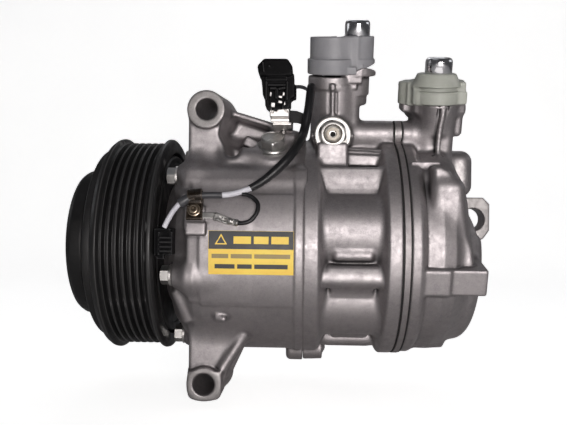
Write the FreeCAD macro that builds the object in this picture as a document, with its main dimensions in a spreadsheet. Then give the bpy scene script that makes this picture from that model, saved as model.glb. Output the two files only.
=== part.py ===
import FreeCAD, Part
import math
import os
import Sketcher
from FreeCAD import Vector, Placement, Rotation

# Automotive air-conditioning compressor with electromagnetic clutch.
# Frame: origin on the drive shaft's axis at the belt's centre plane,
# +X along the shaft towards the rear head, +Z up towards the two ports,
# -Y towards the label side. "Front" is towards -X. Millimetres and degrees.

# ------------------------------------------------------- driving dimensions
DIMENSIONS = [
    # pulley and clutch
    ("belt_pitch", 3.56, "pitch of the belt ribs"),
    ("rib_rad", 55.3, "radius over the pulley's ribs"),
    ("flange_rad", 57.5, "radius of the pulley's rolled flanges"),
    ("groove_depth", 2.9, "depth of a belt groove"),
    ("rim_inner", 49.8, "inner radius of the pulley's rim"),
    ("pulley_front", -16.5, "friction face of the pulley"),
    ("pulley_back", 15.4, "rear edge of the pulley"),
    ("web_thick", 5.0, "thickness of the pulley's front wall"),
    ("bearing_outer", 27.5, "outer radius of the pulley bearing"),
    ("bearing_width", 20.0, "width of the pulley bearing"),
    ("bearing_start", -8.0, "front face of the pulley bearing"),
    ("ball_circle", 22.3, "radius of the circle of ball centres"),
    ("ball_rad", 2.5, "radius of a ball"),
    ("race_rad", 2.55, "radius of a raceway groove"),
    ("nose_rad", 17.5, "radius of the housing's nose tube"),
    ("armature_rad", 51.2, "radius of the armature plate"),
    ("armature_front", -21.1, "front face of the armature plate"),
    ("armature_thick", 4.1, "thickness of the armature plate"),
    ("cover_rad", 39.6, "radius of the hub cover"),
    ("cover_front", -34.2, "front face of the hub cover"),
    ("coil_outer", 48.6, "outer radius of the field coil's shell"),
    ("coil_inner", 33.2, "inner radius of the field coil's shell"),
    # castings
    ("barrel_rad", 57.0, "radius of the front housing's barrel"),
    ("barrel_start", 31.0, "front end of the barrel"),
    ("wall_front", 20.0, "front face of the housing's end wall"),
    ("wall_inner", 34.0, "inner face of the housing's end wall"),
    ("crank_rad", 45.0, "radius of the crankcase"),
    ("seam_front", 86.0, "joint between front housing and cylinder block"),
    ("block_end", 132.5, "rear face of the cylinder block"),
    ("band_rad", 57.2, "radius of the block's front band"),
    ("band_rear_rad", 58.2, "radius of the block's rear band"),
    ("waist_rad", 50.5, "radius of the block's waist"),
    ("head_start", 136.8, "front face of the rear head"),
    ("head_end", 173.0, "rear face of the rear head"),
    ("head_rad", 54.5, "radius of the rear head's barrel"),
    ("bolt_circle", 50.0, "radius of the circle of through bolts"),
    ("bolt_rad", 3.0, "radius of a through bolt's shank"),
    ("bolt_clear", 3.3, "radius of a through bolt's clearance hole"),
    ("bolt_seat", 23.0, "face that the bolt washers rest on"),
    ("bolt_turn", -15.5, "angle of the first through bolt from -Y towards +Z"),
    # mountings
    ("ear_pos", 37.2, "distance of the front bosses behind the origin"),
    ("ear_height", 68.4, "height of the front bosses above and below the axis"),
    ("ear_rad", 8.8, "outer radius of a front boss"),
    ("ear_bore", 5.25, "radius of a front boss's bore"),
    ("ear_face", -40.0, "label-side face of the front bosses"),
    ("ear_length", 69.0, "length of the front bosses"),
    ("rear_ear_pos", 182.8, "distance of the rear ear's bore behind the origin"),
    ("rear_ear_height", 14.7, "height of the rear ear's bore"),
    ("rear_ear_bore", 6.25, "radius of the rear ear's bore"),
    ("rear_ear_face", 12.0, "label-side face of the rear ear"),
    ("rear_ear_thick", 14.0, "thickness of the rear ear"),
    # working parts
    ("shaft_rad", 9.0, "radius of the drive shaft in its bearings"),
    ("seal_rad", 8.0, "radius of the drive shaft at its seal"),
    ("piston_circle", 34.0, "radius of the circle of cylinder bores"),
    ("bore_rad", 13.5, "radius of a cylinder bore"),
    ("piston_rad", 13.46, "radius of a piston's head"),
    ("swash_pos", 62.0, "distance of the swash plate's centre behind the origin"),
    ("swash_rad", 41.5, "radius of the swash plate"),
    ("swash_half", 4.0, "half the thickness of the swash plate"),
    ("swash_hole", 11.0, "radius of the swash plate's hole"),
    ("shoe_rad", 7.6, "radius of a shoe's dome"),
    ("socket_rad", 8.2, "radius of a piston's socket"),
    # ports
    ("port_lean", 17.0, "lean of the ports towards -Y, in degrees"),
]


class Size:
    """A driving dimension: its value and the sheet expression that gives it."""

    def __init__(self, value, text):
        self.value = float(value)
        self.text = text

    def combined(self, sign, other, value):
        term = other.text if isinstance(other, Size) else repr(float(other))
        return Size(value, "(%s %s %s)" % (self.text, sign, term))

    def __add__(self, other):
        return self.combined("+", other, self.value + num(other))

    def __sub__(self, other):
        return self.combined("-", other, self.value - num(other))

    def __mul__(self, other):
        return self.combined("*", other, self.value * num(other))

    def __truediv__(self, other):
        return self.combined("/", other, self.value / num(other))

    def __neg__(self):
        return Size(-self.value, "(0 - %s)" % self.text)


def num(value):
    return value.value if isinstance(value, Size) else float(value)


class Dims:
    """Holds one Size for each alias of the sheet."""


doc = FreeCAD.newDocument("ac_compressor")
sheet = doc.addObject("Spreadsheet::Sheet", "Dims")
dims = Dims()
for row, (alias, value, note) in enumerate(DIMENSIONS, 1):
    sheet.set("A%d" % row, note)
    sheet.set("B%d" % row, "%r" % float(value))
    sheet.setAlias("B%d" % row, alias)
    setattr(dims, alias, Size(value, "Dims." + alias))
doc.recompute()


# ------------------------------------------------------ directions and places
def toward(direction):
    """The rotation that takes +Z to the given direction."""
    return Rotation(Vector(0, 0, 1), Vector(*direction))


def about_x(angle):
    return Rotation(Vector(1, 0, 0), angle)


def about_y(angle):
    return Rotation(Vector(0, 1, 0), angle)


ALONG_X = toward((1, 0, 0))
ALONG_Y = toward((0, 1, 0))
LEAN = about_x(num(dims.port_lean))


def polar(radius, angle, x=0.0):
    """A point round the shaft, its angle measured from -Y towards +Z."""
    turn = math.radians(angle)
    return (x, -num(radius) * math.cos(turn), num(radius) * math.sin(turn))


def polar_plus_y(radius, angle, x):
    """A point round the shaft, its angle measured from +Y towards +Z."""
    return polar(radius, 180.0 - angle, x)


# ------------------------------------------------------------- part helpers
made = [0]


def fresh(kind, name):
    made[0] += 1
    return doc.addObject(kind, "%s_%d" % (name, made[0]))


def bind(part, prop, value):
    if isinstance(value, Size):
        setattr(part, prop, value.value)
        part.setExpression(prop, value.text)
    else:
        setattr(part, prop, value)


def primitive(kind, name, base, rotation, **sizes):
    part = fresh(kind, name)
    for prop, value in sizes.items():
        bind(part, prop, value)
    part.Placement = Placement(Vector(*[num(place) for place in base]), rotation)
    for axis, place in zip("xyz", base):
        if isinstance(place, Size):
            part.setExpression("Placement.Base." + axis, place.text)
    return part


def cyl(radius, length, base, along=ALONG_X):
    return primitive("Part::Cylinder", "cyl", base, along, Radius=radius, Height=length)


def wedge(radius, length, angle, base, along):
    """A sector of a cylinder."""
    return primitive(
        "Part::Cylinder", "wedge", base, along, Radius=radius, Height=length, Angle=angle
    )


def cone(start_rad, end_rad, length, base, along=ALONG_X):
    return primitive(
        "Part::Cone", "cone", base, along, Radius1=start_rad, Radius2=end_rad, Height=length
    )


def hexagon(across_flats, length, base, along=ALONG_X):
    corner_rad = across_flats / math.sqrt(3.0)
    return primitive(
        "Part::Prism", "hexagon", base, along, Polygon=6, Circumradius=corner_rad, Height=length
    )


def box(size, base, rotation=Rotation()):
    return primitive(
        "Part::Box", "box", base, rotation, Length=size[0], Width=size[1], Height=size[2]
    )


def ball(radius, centre):
    return primitive("Part::Sphere", "ball", centre, Rotation(), Radius=radius)


def torus(circle_rad, tube_rad, x):
    return primitive(
        "Part::Torus", "torus", (x, 0, 0), ALONG_X, Radius1=circle_rad, Radius2=tube_rad
    )


def fuse(parts):
    if len(parts) == 1:
        return parts[0]
    joined = fresh("Part::MultiFuse", "fuse")
    joined.Shapes = parts
    return joined


def bundle(parts, name="bundle"):
    group = fresh("Part::Compound", name)
    group.Links = parts
    return group


def cut(base, tools):
    """Cut a list of tools, fused first, or one ready-made tool."""
    rest = fresh("Part::Cut", "cut")
    rest.Base = base
    rest.Tool = fuse(tools) if isinstance(tools, list) else tools
    return rest


def common(base, tool):
    shared = fresh("Part::Common", "common")
    shared.Base = base
    shared.Tool = tool
    return shared


def turned(part, angle, name):
    """The part turned about the shaft's axis."""
    group = bundle([part], name)
    group.Placement = Placement(Vector(0, 0, 0), about_x(angle))
    return group


def sleeve(outer, inner, length, base):
    return cut(cyl(outer, length, base), [cyl(inner, length, base)])


def around(angles, circle_rad, radius, start, length):
    """Cylinders along X, one at each angle of a circle round the shaft."""
    return [cyl(radius, length, polar(circle_rad, angle, start)) for angle in angles]


def radial_box(size, start, radius, angle, shift=0.0):
    """A box standing on the barrel: size along X, round the barrel, outwards.
    Unshifted, its width is centred on the angle."""
    _, y, z = polar(1.0, angle)
    offset = size[1] / 2.0 + shift
    base = (start, radius * y - offset * z, radius * z + offset * y)
    return box(size, base, about_x(90.0 - angle))


def profile(sketch, points):
    """A closed outline. Each corner is held by its distances from the
    origin, and each distance that is a Size is bound to the sheet."""
    corners = [Vector(num(x), num(y), 0) for x, y in points]
    following = corners[1:] + corners[:1]
    lines = [Part.LineSegment(start, end) for start, end in zip(corners, following)]
    sketch.addGeometry(lines, False)
    held = [
        Sketcher.Constraint("Coincident", i, 2, (i + 1) % len(points), 1)
        for i in range(len(points))
    ]
    bound = []
    for i, (x, y) in enumerate(points):
        for kind, axis, value in (("DistanceX", -2, x), ("DistanceY", -1, y)):
            if not isinstance(value, Size) and abs(value) < 1e-9:
                held.append(Sketcher.Constraint("PointOnObject", i, 1, axis))
            else:
                held.append(Sketcher.Constraint(kind, -1, 1, i, 1, num(value)))
                if isinstance(value, Size):
                    bound.append((len(held) - 1, value.text))
    sketch.addConstraint(held)
    for index, text in bound:
        sketch.setExpression("Constraints[%d]" % index, text)


def revolve(points, name):
    """A body turned about the shaft's axis from an outline of (x, radius)."""
    body = fresh("PartDesign::Body", name)
    sketch = body.newObject("Sketcher::SketchObject", "%s_sketch_%d" % (name, made[0]))
    plane = [f for f in body.Origin.OriginFeatures if f.Role == "XZ_Plane"][0]
    sketch.AttachmentSupport = [(plane, "")]
    sketch.MapMode = "FlatFace"
    profile(sketch, points)
    revolution = body.newObject("PartDesign::Revolution", "%s_turned_%d" % (name, made[0]))
    revolution.Profile = sketch
    revolution.ReferenceAxis = (sketch, ["H_Axis"])
    revolution.Angle = 360.0
    body.Tip = revolution
    return body


def ring(inner, outer, start, end, name="ring"):
    return revolve([(start, inner), (start, outer), (end, outer), (end, inner)], name)


NODES = []


def node(part, label):
    part.Label = label
    NODES.append(part)


def piece(build):
    """Build a piece at once and label it with its function's name."""
    node(build(), build.__name__)
    return build


# ----------------------------------------------------- places shared by pieces
BOLT_ANGLES = [num(dims.bolt_turn) + 60.0 * k for k in range(6)]
BORE_ANGLES = [angle + 30.0 for angle in BOLT_ANGLES]

# field coil's seat on the nose of the front housing
COIL_SEAT_FRONT = 13.5
COIL_SEAT_BACK = 15.5
SNAP_SEAT_RAD = dims.nose_rad + 2.3
COIL_SEAT_RAD = dims.nose_rad + 3.6

# dowels at the housing joint (y, z) and behind the block (radius, angle)
DOWEL_RAD = 2.0
JOINT_DOWELS = [(0.0, -57.6), polar(51.2, 134.5)[1:]]
REAR_DOWEL = (51.0, 134.5)
LOBE_RAD = 6.5
LOBE_Z = -57.0


def joint_dowels(start, length):
    return [cyl(DOWEL_RAD, length, (start, y, z)) for y, z in JOINT_DOWELS]


def rear_dowel(start, length):
    return cyl(DOWEL_RAD, length, polar(*REAR_DOWEL, start))


# passage along the top, from the block across the joint to the head
PASSAGE_Y = -16.0
PASSAGE_Z = 59.8
PASSAGE_OUTER = 6.8
PASSAGE_BORE = 3.6


def passage(radius, start, length):
    return cyl(radius, length, (start, PASSAGE_Y, PASSAGE_Z))


# oil plug, on the upper label side of the front housing
PLUG_ANGLE = 54.0
PLUG_X = 70.3
PLUG_RAD = 5.0
PLUG_AXIS = toward(polar(1.0, PLUG_ANGLE))


def plug_cyl(radius, length, distance):
    """A cylinder on the plug's axis, starting at a distance from the shaft."""
    return cyl(radius, length, polar(distance, PLUG_ANGLE, PLUG_X), PLUG_AXIS)


# cable pad and its clamp screw, on the label side of the front housing
PAD_ANGLE = 16.0
PAD_SCREW_X = 34.5
PAD_SCREW_RAD = 2.0
PAD_AXIS = toward(polar(1.0, PAD_ANGLE))


def pad_cyl(radius, length, distance):
    return cyl(radius, length, polar(distance, PAD_ANGLE, PAD_SCREW_X), PAD_AXIS)


# foot of the connector's bracket: where it is screwed down, and its axis
FOOT_X, FOOT_Y, FOOT_Z = 75.0, -26.2, 59.5
FOOT_LEAN = math.radians(10.0)
FOOT_UP = (0.0, math.sin(FOOT_LEAN), math.cos(FOOT_LEAN))
FOOT_AXIS = toward(FOOT_UP)


def foot_cyl(radius, length, depth):
    """A cylinder on the foot's axis, starting at a depth below the foot."""
    base = (FOOT_X, FOOT_Y - depth * FOOT_UP[1], FOOT_Z - depth * FOOT_UP[2])
    return cyl(radius, length, base, FOOT_AXIS)


# relief valve, along Y at the left port
RELIEF_X, RELIEF_Y, RELIEF_Z = 100.1, -27.0, 57.0
RELIEF_RAD = 4.0


def relief_point(ahead):
    """A point on the valve's axis, ahead of its seat towards -Y."""
    return (RELIEF_X, RELIEF_Y - ahead, RELIEF_Z)


def relief_cyl(radius, length, ahead):
    return cyl(radius, length, relief_point(ahead), ALONG_Y)


# control valve, along Y in the rear head
CONTROL_X, CONTROL_Z = 169.4, 41.0
CONTROL_CLIP_Y = 34.8


def control_cyl(radius, length, y):
    return cyl(radius, length, (CONTROL_X, y, CONTROL_Z), ALONG_Y)


# ports: centre of each flange's top face, and (x, y) from it to bore and screw
LEFT_PORT = (104.5, -20.5, 88.8)
LEFT_BORE = (-4.6, 0.0)
LEFT_SCREW = (8.0, 0.0)
RIGHT_PORT = (153.9, -19.0, 76.0)
RIGHT_BORE = (0.0, 6.0)
RIGHT_SCREW = (0.3, -7.6)
PORT_SCREW_RAD = 3.0
FLANGE_THICK = 5.0


def port_point(port, x, y, z):
    """A point given in a port's leaning frame."""
    step = LEAN.multVec(Vector(x, y, z))
    return (port[0] + step.x, port[1] + step.y, port[2] + step.z)


def port_cyl(radius, length, port, x, y, z):
    return cyl(radius, length, port_point(port, x, y, z), LEAN)


def port_box(size, port, x, y, z):
    return box(size, port_point(port, x, y, z), LEAN)


# ---------------------------------------------------------------- clutch
GROOVE_TOP_HALF = 1.38
GROOVE_ROOT_HALF = 0.33


@piece
def pulley():
    front = dims.pulley_front
    back = dims.pulley_back
    bearing_back = dims.bearing_start + dims.bearing_width
    outline = [
        (front, dims.flange_rad - 1.6), (front + 1.4, dims.flange_rad),
        (front + 3.6, dims.flange_rad), (front + 5.4, dims.rib_rad),
    ]
    root_rad = dims.rib_rad - dims.groove_depth
    for k in range(6):
        centre = dims.belt_pitch * (k - 2.5)
        outline += [
            (centre - GROOVE_TOP_HALF, dims.rib_rad), (centre - GROOVE_ROOT_HALF, root_rad),
            (centre + GROOVE_ROOT_HALF, root_rad), (centre + GROOVE_TOP_HALF, dims.rib_rad),
        ]
    outline += [
        (back - 5.4, dims.rib_rad), (back - 3.6, dims.flange_rad),
        (back - 1.2, dims.flange_rad), (back, dims.flange_rad - 1.4),
        (back, dims.rim_inner), (front + dims.web_thick, dims.rim_inner),
        (front + dims.web_thick, dims.bearing_outer + 3.6),
        (bearing_back, dims.bearing_outer + 3.6), (bearing_back, dims.bearing_outer),
        (dims.bearing_start, dims.bearing_outer),
        (dims.bearing_start, dims.bearing_outer - 1.5),
        (front, dims.bearing_outer - 1.5),
    ]
    wheel = revolve(outline, "pulley")
    # six arc-shaped slots through the front wall
    slots = []
    for k in range(6):
        band = sleeve(43.2, 40.4, dims.web_thick + 2, (front - 1, 0, 0))
        along = about_x(60.0 * k).multiply(ALONG_X)
        sector = wedge(46.0, dims.web_thick + 4, 44.0, (front - 2, 0, 0), along)
        slots.append(common(band, sector))
    return cut(wheel, bundle(slots))


BEARING_END = dims.bearing_start + dims.bearing_width
BEARING_MIDDLE = dims.bearing_start + dims.bearing_width / 2
BALL_ROWS = [BEARING_MIDDLE - 4.5, BEARING_MIDDLE + 4.5]
INNER_LAND = dims.ball_circle - 1.9
OUTER_LAND = dims.ball_circle + 1.9


def raceways():
    return [torus(dims.ball_circle, dims.race_rad, x) for x in BALL_ROWS]


@piece
def bearing_inner_ring():
    return cut(ring(dims.nose_rad, INNER_LAND, dims.bearing_start, BEARING_END), raceways())


@piece
def bearing_outer_ring():
    return cut(ring(OUTER_LAND, dims.bearing_outer, dims.bearing_start, BEARING_END), raceways())


@piece
def bearing_balls():
    """Two rows of 16, staggered by half a pitch."""
    return bundle([
        ball(dims.ball_rad, polar_plus_y(dims.ball_circle, 22.5 * k + 11.25 * i, x))
        for i, x in enumerate(BALL_ROWS)
        for k in range(16)
    ])


@piece
def bearing_seals():
    inner = dims.ball_circle - 1.85
    return bundle([
        ring(inner, OUTER_LAND, dims.bearing_start + 0.3, dims.bearing_start + 1.1),
        ring(inner, OUTER_LAND, BEARING_END - 1.1, BEARING_END - 0.3),
    ])


COIL_WALL = 2.0
COIL_SHELL_FRONT = -9.5
WINDING_FRONT = -8.0
WINDING_BACK = 13.0
WINDING_INNER = dims.coil_inner + COIL_WALL
WINDING_OUTER = dims.coil_outer - COIL_WALL


@piece
def field_coil_shell():
    return revolve([
        (COIL_SHELL_FRONT, dims.coil_inner), (COIL_SHELL_FRONT, WINDING_INNER),
        (WINDING_BACK, WINDING_INNER), (WINDING_BACK, WINDING_OUTER),
        (COIL_SHELL_FRONT, WINDING_OUTER), (COIL_SHELL_FRONT, dims.coil_outer),
        (COIL_SEAT_BACK, dims.coil_outer), (COIL_SEAT_BACK, COIL_SEAT_RAD),
        (COIL_SEAT_FRONT, COIL_SEAT_RAD), (COIL_SEAT_FRONT, dims.coil_inner),
    ], "coil_shell")


@piece
def coil_winding():
    return ring(WINDING_INNER, WINDING_OUTER, WINDING_FRONT, WINDING_BACK, "winding")


@piece
def coil_snap_ring():
    snap = ring(SNAP_SEAT_RAD, dims.nose_rad + 6.5, 12.3, COIL_SEAT_FRONT, "snap")
    return cut(snap, [box((4, 30, 6), (11, -38, -3))])


RIVET_CIRCLE = 34.2
RIVET_ANGLES = [120.0 * k + 90 for k in range(3)]  # from +Y towards +Z
SPRING_FRONT = dims.armature_front - 1.5


@piece
def armature_plate():
    """Ring with six small holes, three inner lugs and their rivets."""
    front = dims.armature_front
    thick = dims.armature_thick
    armature = ring(33.0, dims.armature_rad, front, front + thick, "armature")
    holes = [cyl(1.8, 8, polar_plus_y(45.0, 60.0 * k + 30, front - 1)) for k in range(6)]
    plate = cut(armature, bundle(holes))
    lugs = [cyl(4.6, thick, polar_plus_y(RIVET_CIRCLE, a, front)) for a in RIVET_ANGLES]
    rivets = []
    for angle in RIVET_ANGLES:
        rivets.append(cyl(2.0, 2.6, polar_plus_y(RIVET_CIRCLE, angle, front - 2.4)))
        rivets.append(cyl(3.0, 0.8, polar_plus_y(RIVET_CIRCLE, angle, front - 3.0)))
    return fuse([plate] + lugs + rivets)


@piece
def leaf_springs():
    """Three blades from the hub out to the rivets."""
    thick = 0.6
    half_width = 3.3
    hole_start = dims.armature_front - 3
    springs = []
    for k in range(3):
        blade = box((thick, 2 * half_width, 20.7), (SPRING_FRONT, -half_width, 13.5))
        end = cyl(half_width, thick, (SPRING_FRONT, 0, RIVET_CIRCLE))
        holes = [
            cyl(2.2, 3, (hole_start, 0, RIVET_CIRCLE)),
            cyl(13.6, 3, (hole_start, 0, 0)),
        ]
        springs.append(turned(cut(fuse([blade, end]), holes), 120.0 * k, "spring"))
    return bundle(springs)


SHAFT_FRONT = -25.0


@piece
def clutch_hub():
    flange_front = dims.armature_front - 3.5
    return revolve([
        (-27.0, 6.5), (-27.0, 11.0), (flange_front, 11.0), (flange_front, 19.0),
        (SPRING_FRONT, 19.0), (SPRING_FRONT, 13.0), (-12.6, 13.0), (-12.6, dims.seal_rad),
        (SHAFT_FRONT, dims.seal_rad), (SHAFT_FRONT, 6.5),
    ], "hub")


@piece
def hub_cover():
    """Thin cup, open to the rear, dished round the hub bolt."""
    wall = 2.0
    front = dims.cover_front
    inner = dims.cover_rad - wall
    return revolve([
        (-28.4, 6.6), (-28.4, 14.0), (front, 18.5), (front, inner),
        (front + wall, dims.cover_rad), (-22.0, dims.cover_rad), (-22.0, inner),
        (front + wall, inner), (front + wall, 20.0), (-27.0, 14.5), (-27.0, 6.6),
    ], "cover")


HUB_BOLT_RAD = 3.0


@piece
def hub_bolt():
    return fuse([
        hexagon(10.0, 4.0, (-33.0, 0, 0)),
        cyl(8.0, 0.9, (-29.3, 0, 0)),
        cyl(HUB_BOLT_RAD, 14.5, (-29.0, 0, 0)),
    ])


# ---------------------------------------------------------- drive line
SHAFT_END = 121.0
NEEDLE_INNER = dims.shaft_rad + 0.03
NEEDLE_OUTER = 13.0
REAR_NEEDLE_OUTER = 12.5
SEAL_OUTER = 14.2
CLIP_GROOVE_RAD = 15.2


@piece
def drive_shaft():
    shaft = revolve([
        (SHAFT_FRONT, 0.0), (SHAFT_FRONT, dims.seal_rad - 1.2), (-24.0, dims.seal_rad),
        (6.0, dims.seal_rad), (7.5, dims.shaft_rad), (119.0, dims.shaft_rad),
        (SHAFT_END, dims.shaft_rad - 1.5), (SHAFT_END, 0.0),
    ], "shaft")
    return cut(shaft, [cyl(HUB_BOLT_RAD, 14.0, (-26, 0, 0)), cyl(2.2, 40, (92, 0, 0))])


@piece
def lug_plate():
    """Stepped disc with two arms to the rear and four pockets below the axis."""
    wall = dims.wall_inner
    disc = revolve([
        (wall + 3.0, dims.shaft_rad), (wall + 3.0, 30.0), (wall + 4.0, 38.0),
        (wall + 9.0, 38.0), (wall + 9.0, 24.0), (wall + 11.0, 15.0),
        (wall + 11.0, dims.shaft_rad),
    ], "lug")
    arms = [box((9.0, 4.0, 7.4), (wall + 8.5, y, 11.2)) for y in (-7.5, 3.5)]
    pockets = [
        cyl(3.0, 6.0, polar_plus_y(26.0, angle, wall + 5.0)) for angle in (200, 235, 305, 340)
    ]
    return cut(fuse([disc] + arms), bundle(pockets))


@piece
def front_needle_bearing():
    return ring(NEEDLE_INNER, NEEDLE_OUTER, 9.0, 29.0, "needles")


@piece
def rear_needle_bearing():
    return ring(NEEDLE_INNER, REAR_NEEDLE_OUTER, 98.0, 118.0, "needles")


@piece
def thrust_bearing():
    return ring(14.0, 26.0, dims.wall_inner, dims.wall_inner + 2.95, "thrust")


@piece
def shaft_seal():
    inner = dims.seal_rad + 0.05
    return revolve([
        (-6.0, inner), (-6.0, SEAL_OUTER), (4.0, SEAL_OUTER), (4.0, 12.0),
        (-2.0, 12.0), (-2.0, 10.4), (3.0, 9.6), (3.0, inner),
    ], "seal")


@piece
def seal_circlip():
    clip = ring(11.6, CLIP_GROOVE_RAD, -7.6, -6.4, "circlip")
    return cut(clip, [box((4, 8, 12), (-9, -4, 8))])


SWASH_FRONT = dims.swash_pos - dims.swash_half


@piece
def swash_plate():
    disc = ring(
        dims.swash_hole, dims.swash_rad, SWASH_FRONT, dims.swash_pos + dims.swash_half, "swash"
    )
    trunnions = [cyl(2.6, 4.7, (dims.swash_pos, y, 0), ALONG_Y) for y in (9.3, -14.0)]
    return fuse([disc] + trunnions)


@piece
def shoes():
    """At each bore, a ball less the slice taken by the swash plate."""
    pairs = []
    for angle in BORE_ANGLES:
        dome = ball(dims.shoe_rad, polar(dims.piston_circle, angle, dims.swash_pos))
        base = polar(dims.piston_circle, angle, SWASH_FRONT)
        pairs.append(cut(dome, [cyl(dims.shoe_rad + 1, dims.swash_half * 2, base)]))
    return bundle(pairs)


def piston(angle):
    """A piston, drawn straight above the shaft and turned round it to its bore."""
    circle = dims.piston_circle
    socket = dims.socket_rad
    pad_depth = 5.8  # from the swash plate's centre to the face of a pad

    def disc(radius, length, start):
        return cyl(radius, length, (start, 0, circle))

    def groove(depth, width, start):
        return sleeve(
            dims.piston_rad + 1, dims.piston_rad - depth, width, (start, 0, circle)
        )

    head = disc(dims.piston_rad, 26.8, 98.0)
    neck = disc(8.5, 32.0, 68.0)
    yoke = disc(dims.bore_rad - 0.3, 27.5, 50.5)
    # room for the swash plate's rim
    window = box(
        (socket * 2 - 0.2, 40, 36.0),
        (dims.swash_pos - socket + 0.1, -20, dims.swash_rad - 34.3),
    )
    crown = cut(
        fuse([head, neck, yoke]), [window, groove(1.2, 1.4, 101.0), groove(1.4, 1.6, 120.0)]
    )
    pads = [
        disc(7.5, socket - pad_depth, start)
        for start in (dims.swash_pos - socket, dims.swash_pos + pad_depth)
    ]
    whole = cut(fuse([crown] + pads), [ball(socket, (dims.swash_pos, 0, circle))])
    return turned(whole, 90.0 - angle, "piston")


for number, bore_angle in enumerate(BORE_ANGLES, 1):
    node(piston(bore_angle), "piston_%d" % number)


# ------------------------------------------------------- front housing
@piece
def front_housing():
    nose = dims.nose_rad
    wall = dims.wall_front
    barrel = dims.barrel_start
    shell = revolve([
        (-11.5, 10.5), (-11.5, nose - 1.0), (-10.8, nose), (12.0, nose),
        (12.0, SNAP_SEAT_RAD), (COIL_SEAT_FRONT, SNAP_SEAT_RAD),
        (COIL_SEAT_FRONT, COIL_SEAT_RAD), (COIL_SEAT_BACK, COIL_SEAT_RAD),
        (COIL_SEAT_BACK, 33.0), (wall, 36.0), (wall, 43.5), (wall + 4.5, 49.5),
        (barrel - 1.0, dims.barrel_rad - 4.0), (barrel + 1.5, dims.barrel_rad - 1.4),
        (barrel + 6.0, dims.barrel_rad - 0.3), (barrel + 14.0, dims.barrel_rad),
        (dims.seam_front, dims.barrel_rad), (dims.seam_front, 10.5),
    ], "front_shell")
    adds = []
    cuts = []
    for angle in BOLT_ANGLES:
        adds.append(cone(5.6, 9.0, 9.5, polar(dims.bolt_circle, angle, dims.bolt_seat)))
        hole_base = polar(dims.bolt_circle, angle, dims.bolt_seat - 1)
        cuts.append(cyl(dims.bolt_clear, 70.0, hole_base))
        cuts.append(cyl(8.0, 6.0, polar(dims.bolt_circle, angle, dims.bolt_seat - 6.0)))

    # long bosses with their bores along Y, widest at the waist, and their webs
    face = dims.ear_face
    waist = 35.0
    waist_rad = dims.ear_rad + 3.3
    for z, thick_web_z, thin_web_z in (
        (dims.ear_height, 42.0, 38.5),
        (-dims.ear_height, -68.0, -58.5),
    ):
        rest = dims.ear_length - waist
        adds += [
            cone(dims.ear_rad, waist_rad, waist, (dims.ear_pos, face, z), ALONG_Y),
            cone(waist_rad, dims.ear_rad, rest, (dims.ear_pos, face + waist, z), ALONG_Y),
            box(
                (15.8, dims.ear_length - 3, 26.0),
                (dims.ear_pos - 8.3, face + 1.5, thick_web_z),
            ),
            box((23.0, 4.0, 20.0), (dims.ear_pos - 2.0, -24.0, thin_web_z)),
        ]
        bore_base = (dims.ear_pos, face - 2, z)
        cuts.append(cyl(dims.ear_bore, dims.ear_length + 4, bore_base, ALONG_Y))
    # squared foot of the lower boss, and the upper boss's sloping rib
    slope = about_y(17.0)
    adds += [
        box((16.6, 10.0, 14.0), (dims.ear_pos - 8.2, face, -76.4)),
        box((24.0, 25.0, 3.0), (44.0, -25.0, 67.4), slope),
        box((22.0, 10.0, 12.0), (43.0, -10.0, 56.2), slope),
    ]

    # plug boss, cable pad, locating lobe under the joint, bracket's pad
    adds += [
        plug_cyl(10.5, 14.0, 46.0),
        radial_box((9.4, 11.8, 10.0), 29.6, 48.4, PAD_ANGLE, shift=2.6),
        cyl(LOBE_RAD, 9.0, (dims.seam_front - 9.0, 0, LOBE_Z)),
        box((14.0, 10.0, 13.05), (68.0, -28.0, 44.5)),
    ]
    cuts += [
        plug_cyl(PLUG_RAD, 40.0, 30.0),
        pad_cyl(PAD_SCREW_RAD, 12.0, 50.0),
        foot_cyl(1.5, 12.0, 10.0),
    ]

    # inside: seal bore, clip groove, bearing bore, crankcase with a lobe for each piston
    depth = dims.seam_front - dims.wall_inner
    cuts += [
        cyl(SEAL_OUTER, 16.5, (-12.5, 0, 0)),
        cyl(CLIP_GROOVE_RAD, 1.2, (-7.6, 0, 0)),
        cyl(NEEDLE_OUTER, 26.1, (8.0, 0, 0)),
        cyl(dims.crank_rad, depth + 1, (dims.wall_inner, 0, 0)),
    ]
    cuts += around(
        BORE_ANGLES, dims.piston_circle, dims.bore_rad + 0.9, dims.wall_inner + 6.0, depth - 5
    )
    cuts += joint_dowels(dims.seam_front - 5.0, 6.0)
    return cut(fuse([shell] + adds), cuts)


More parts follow.
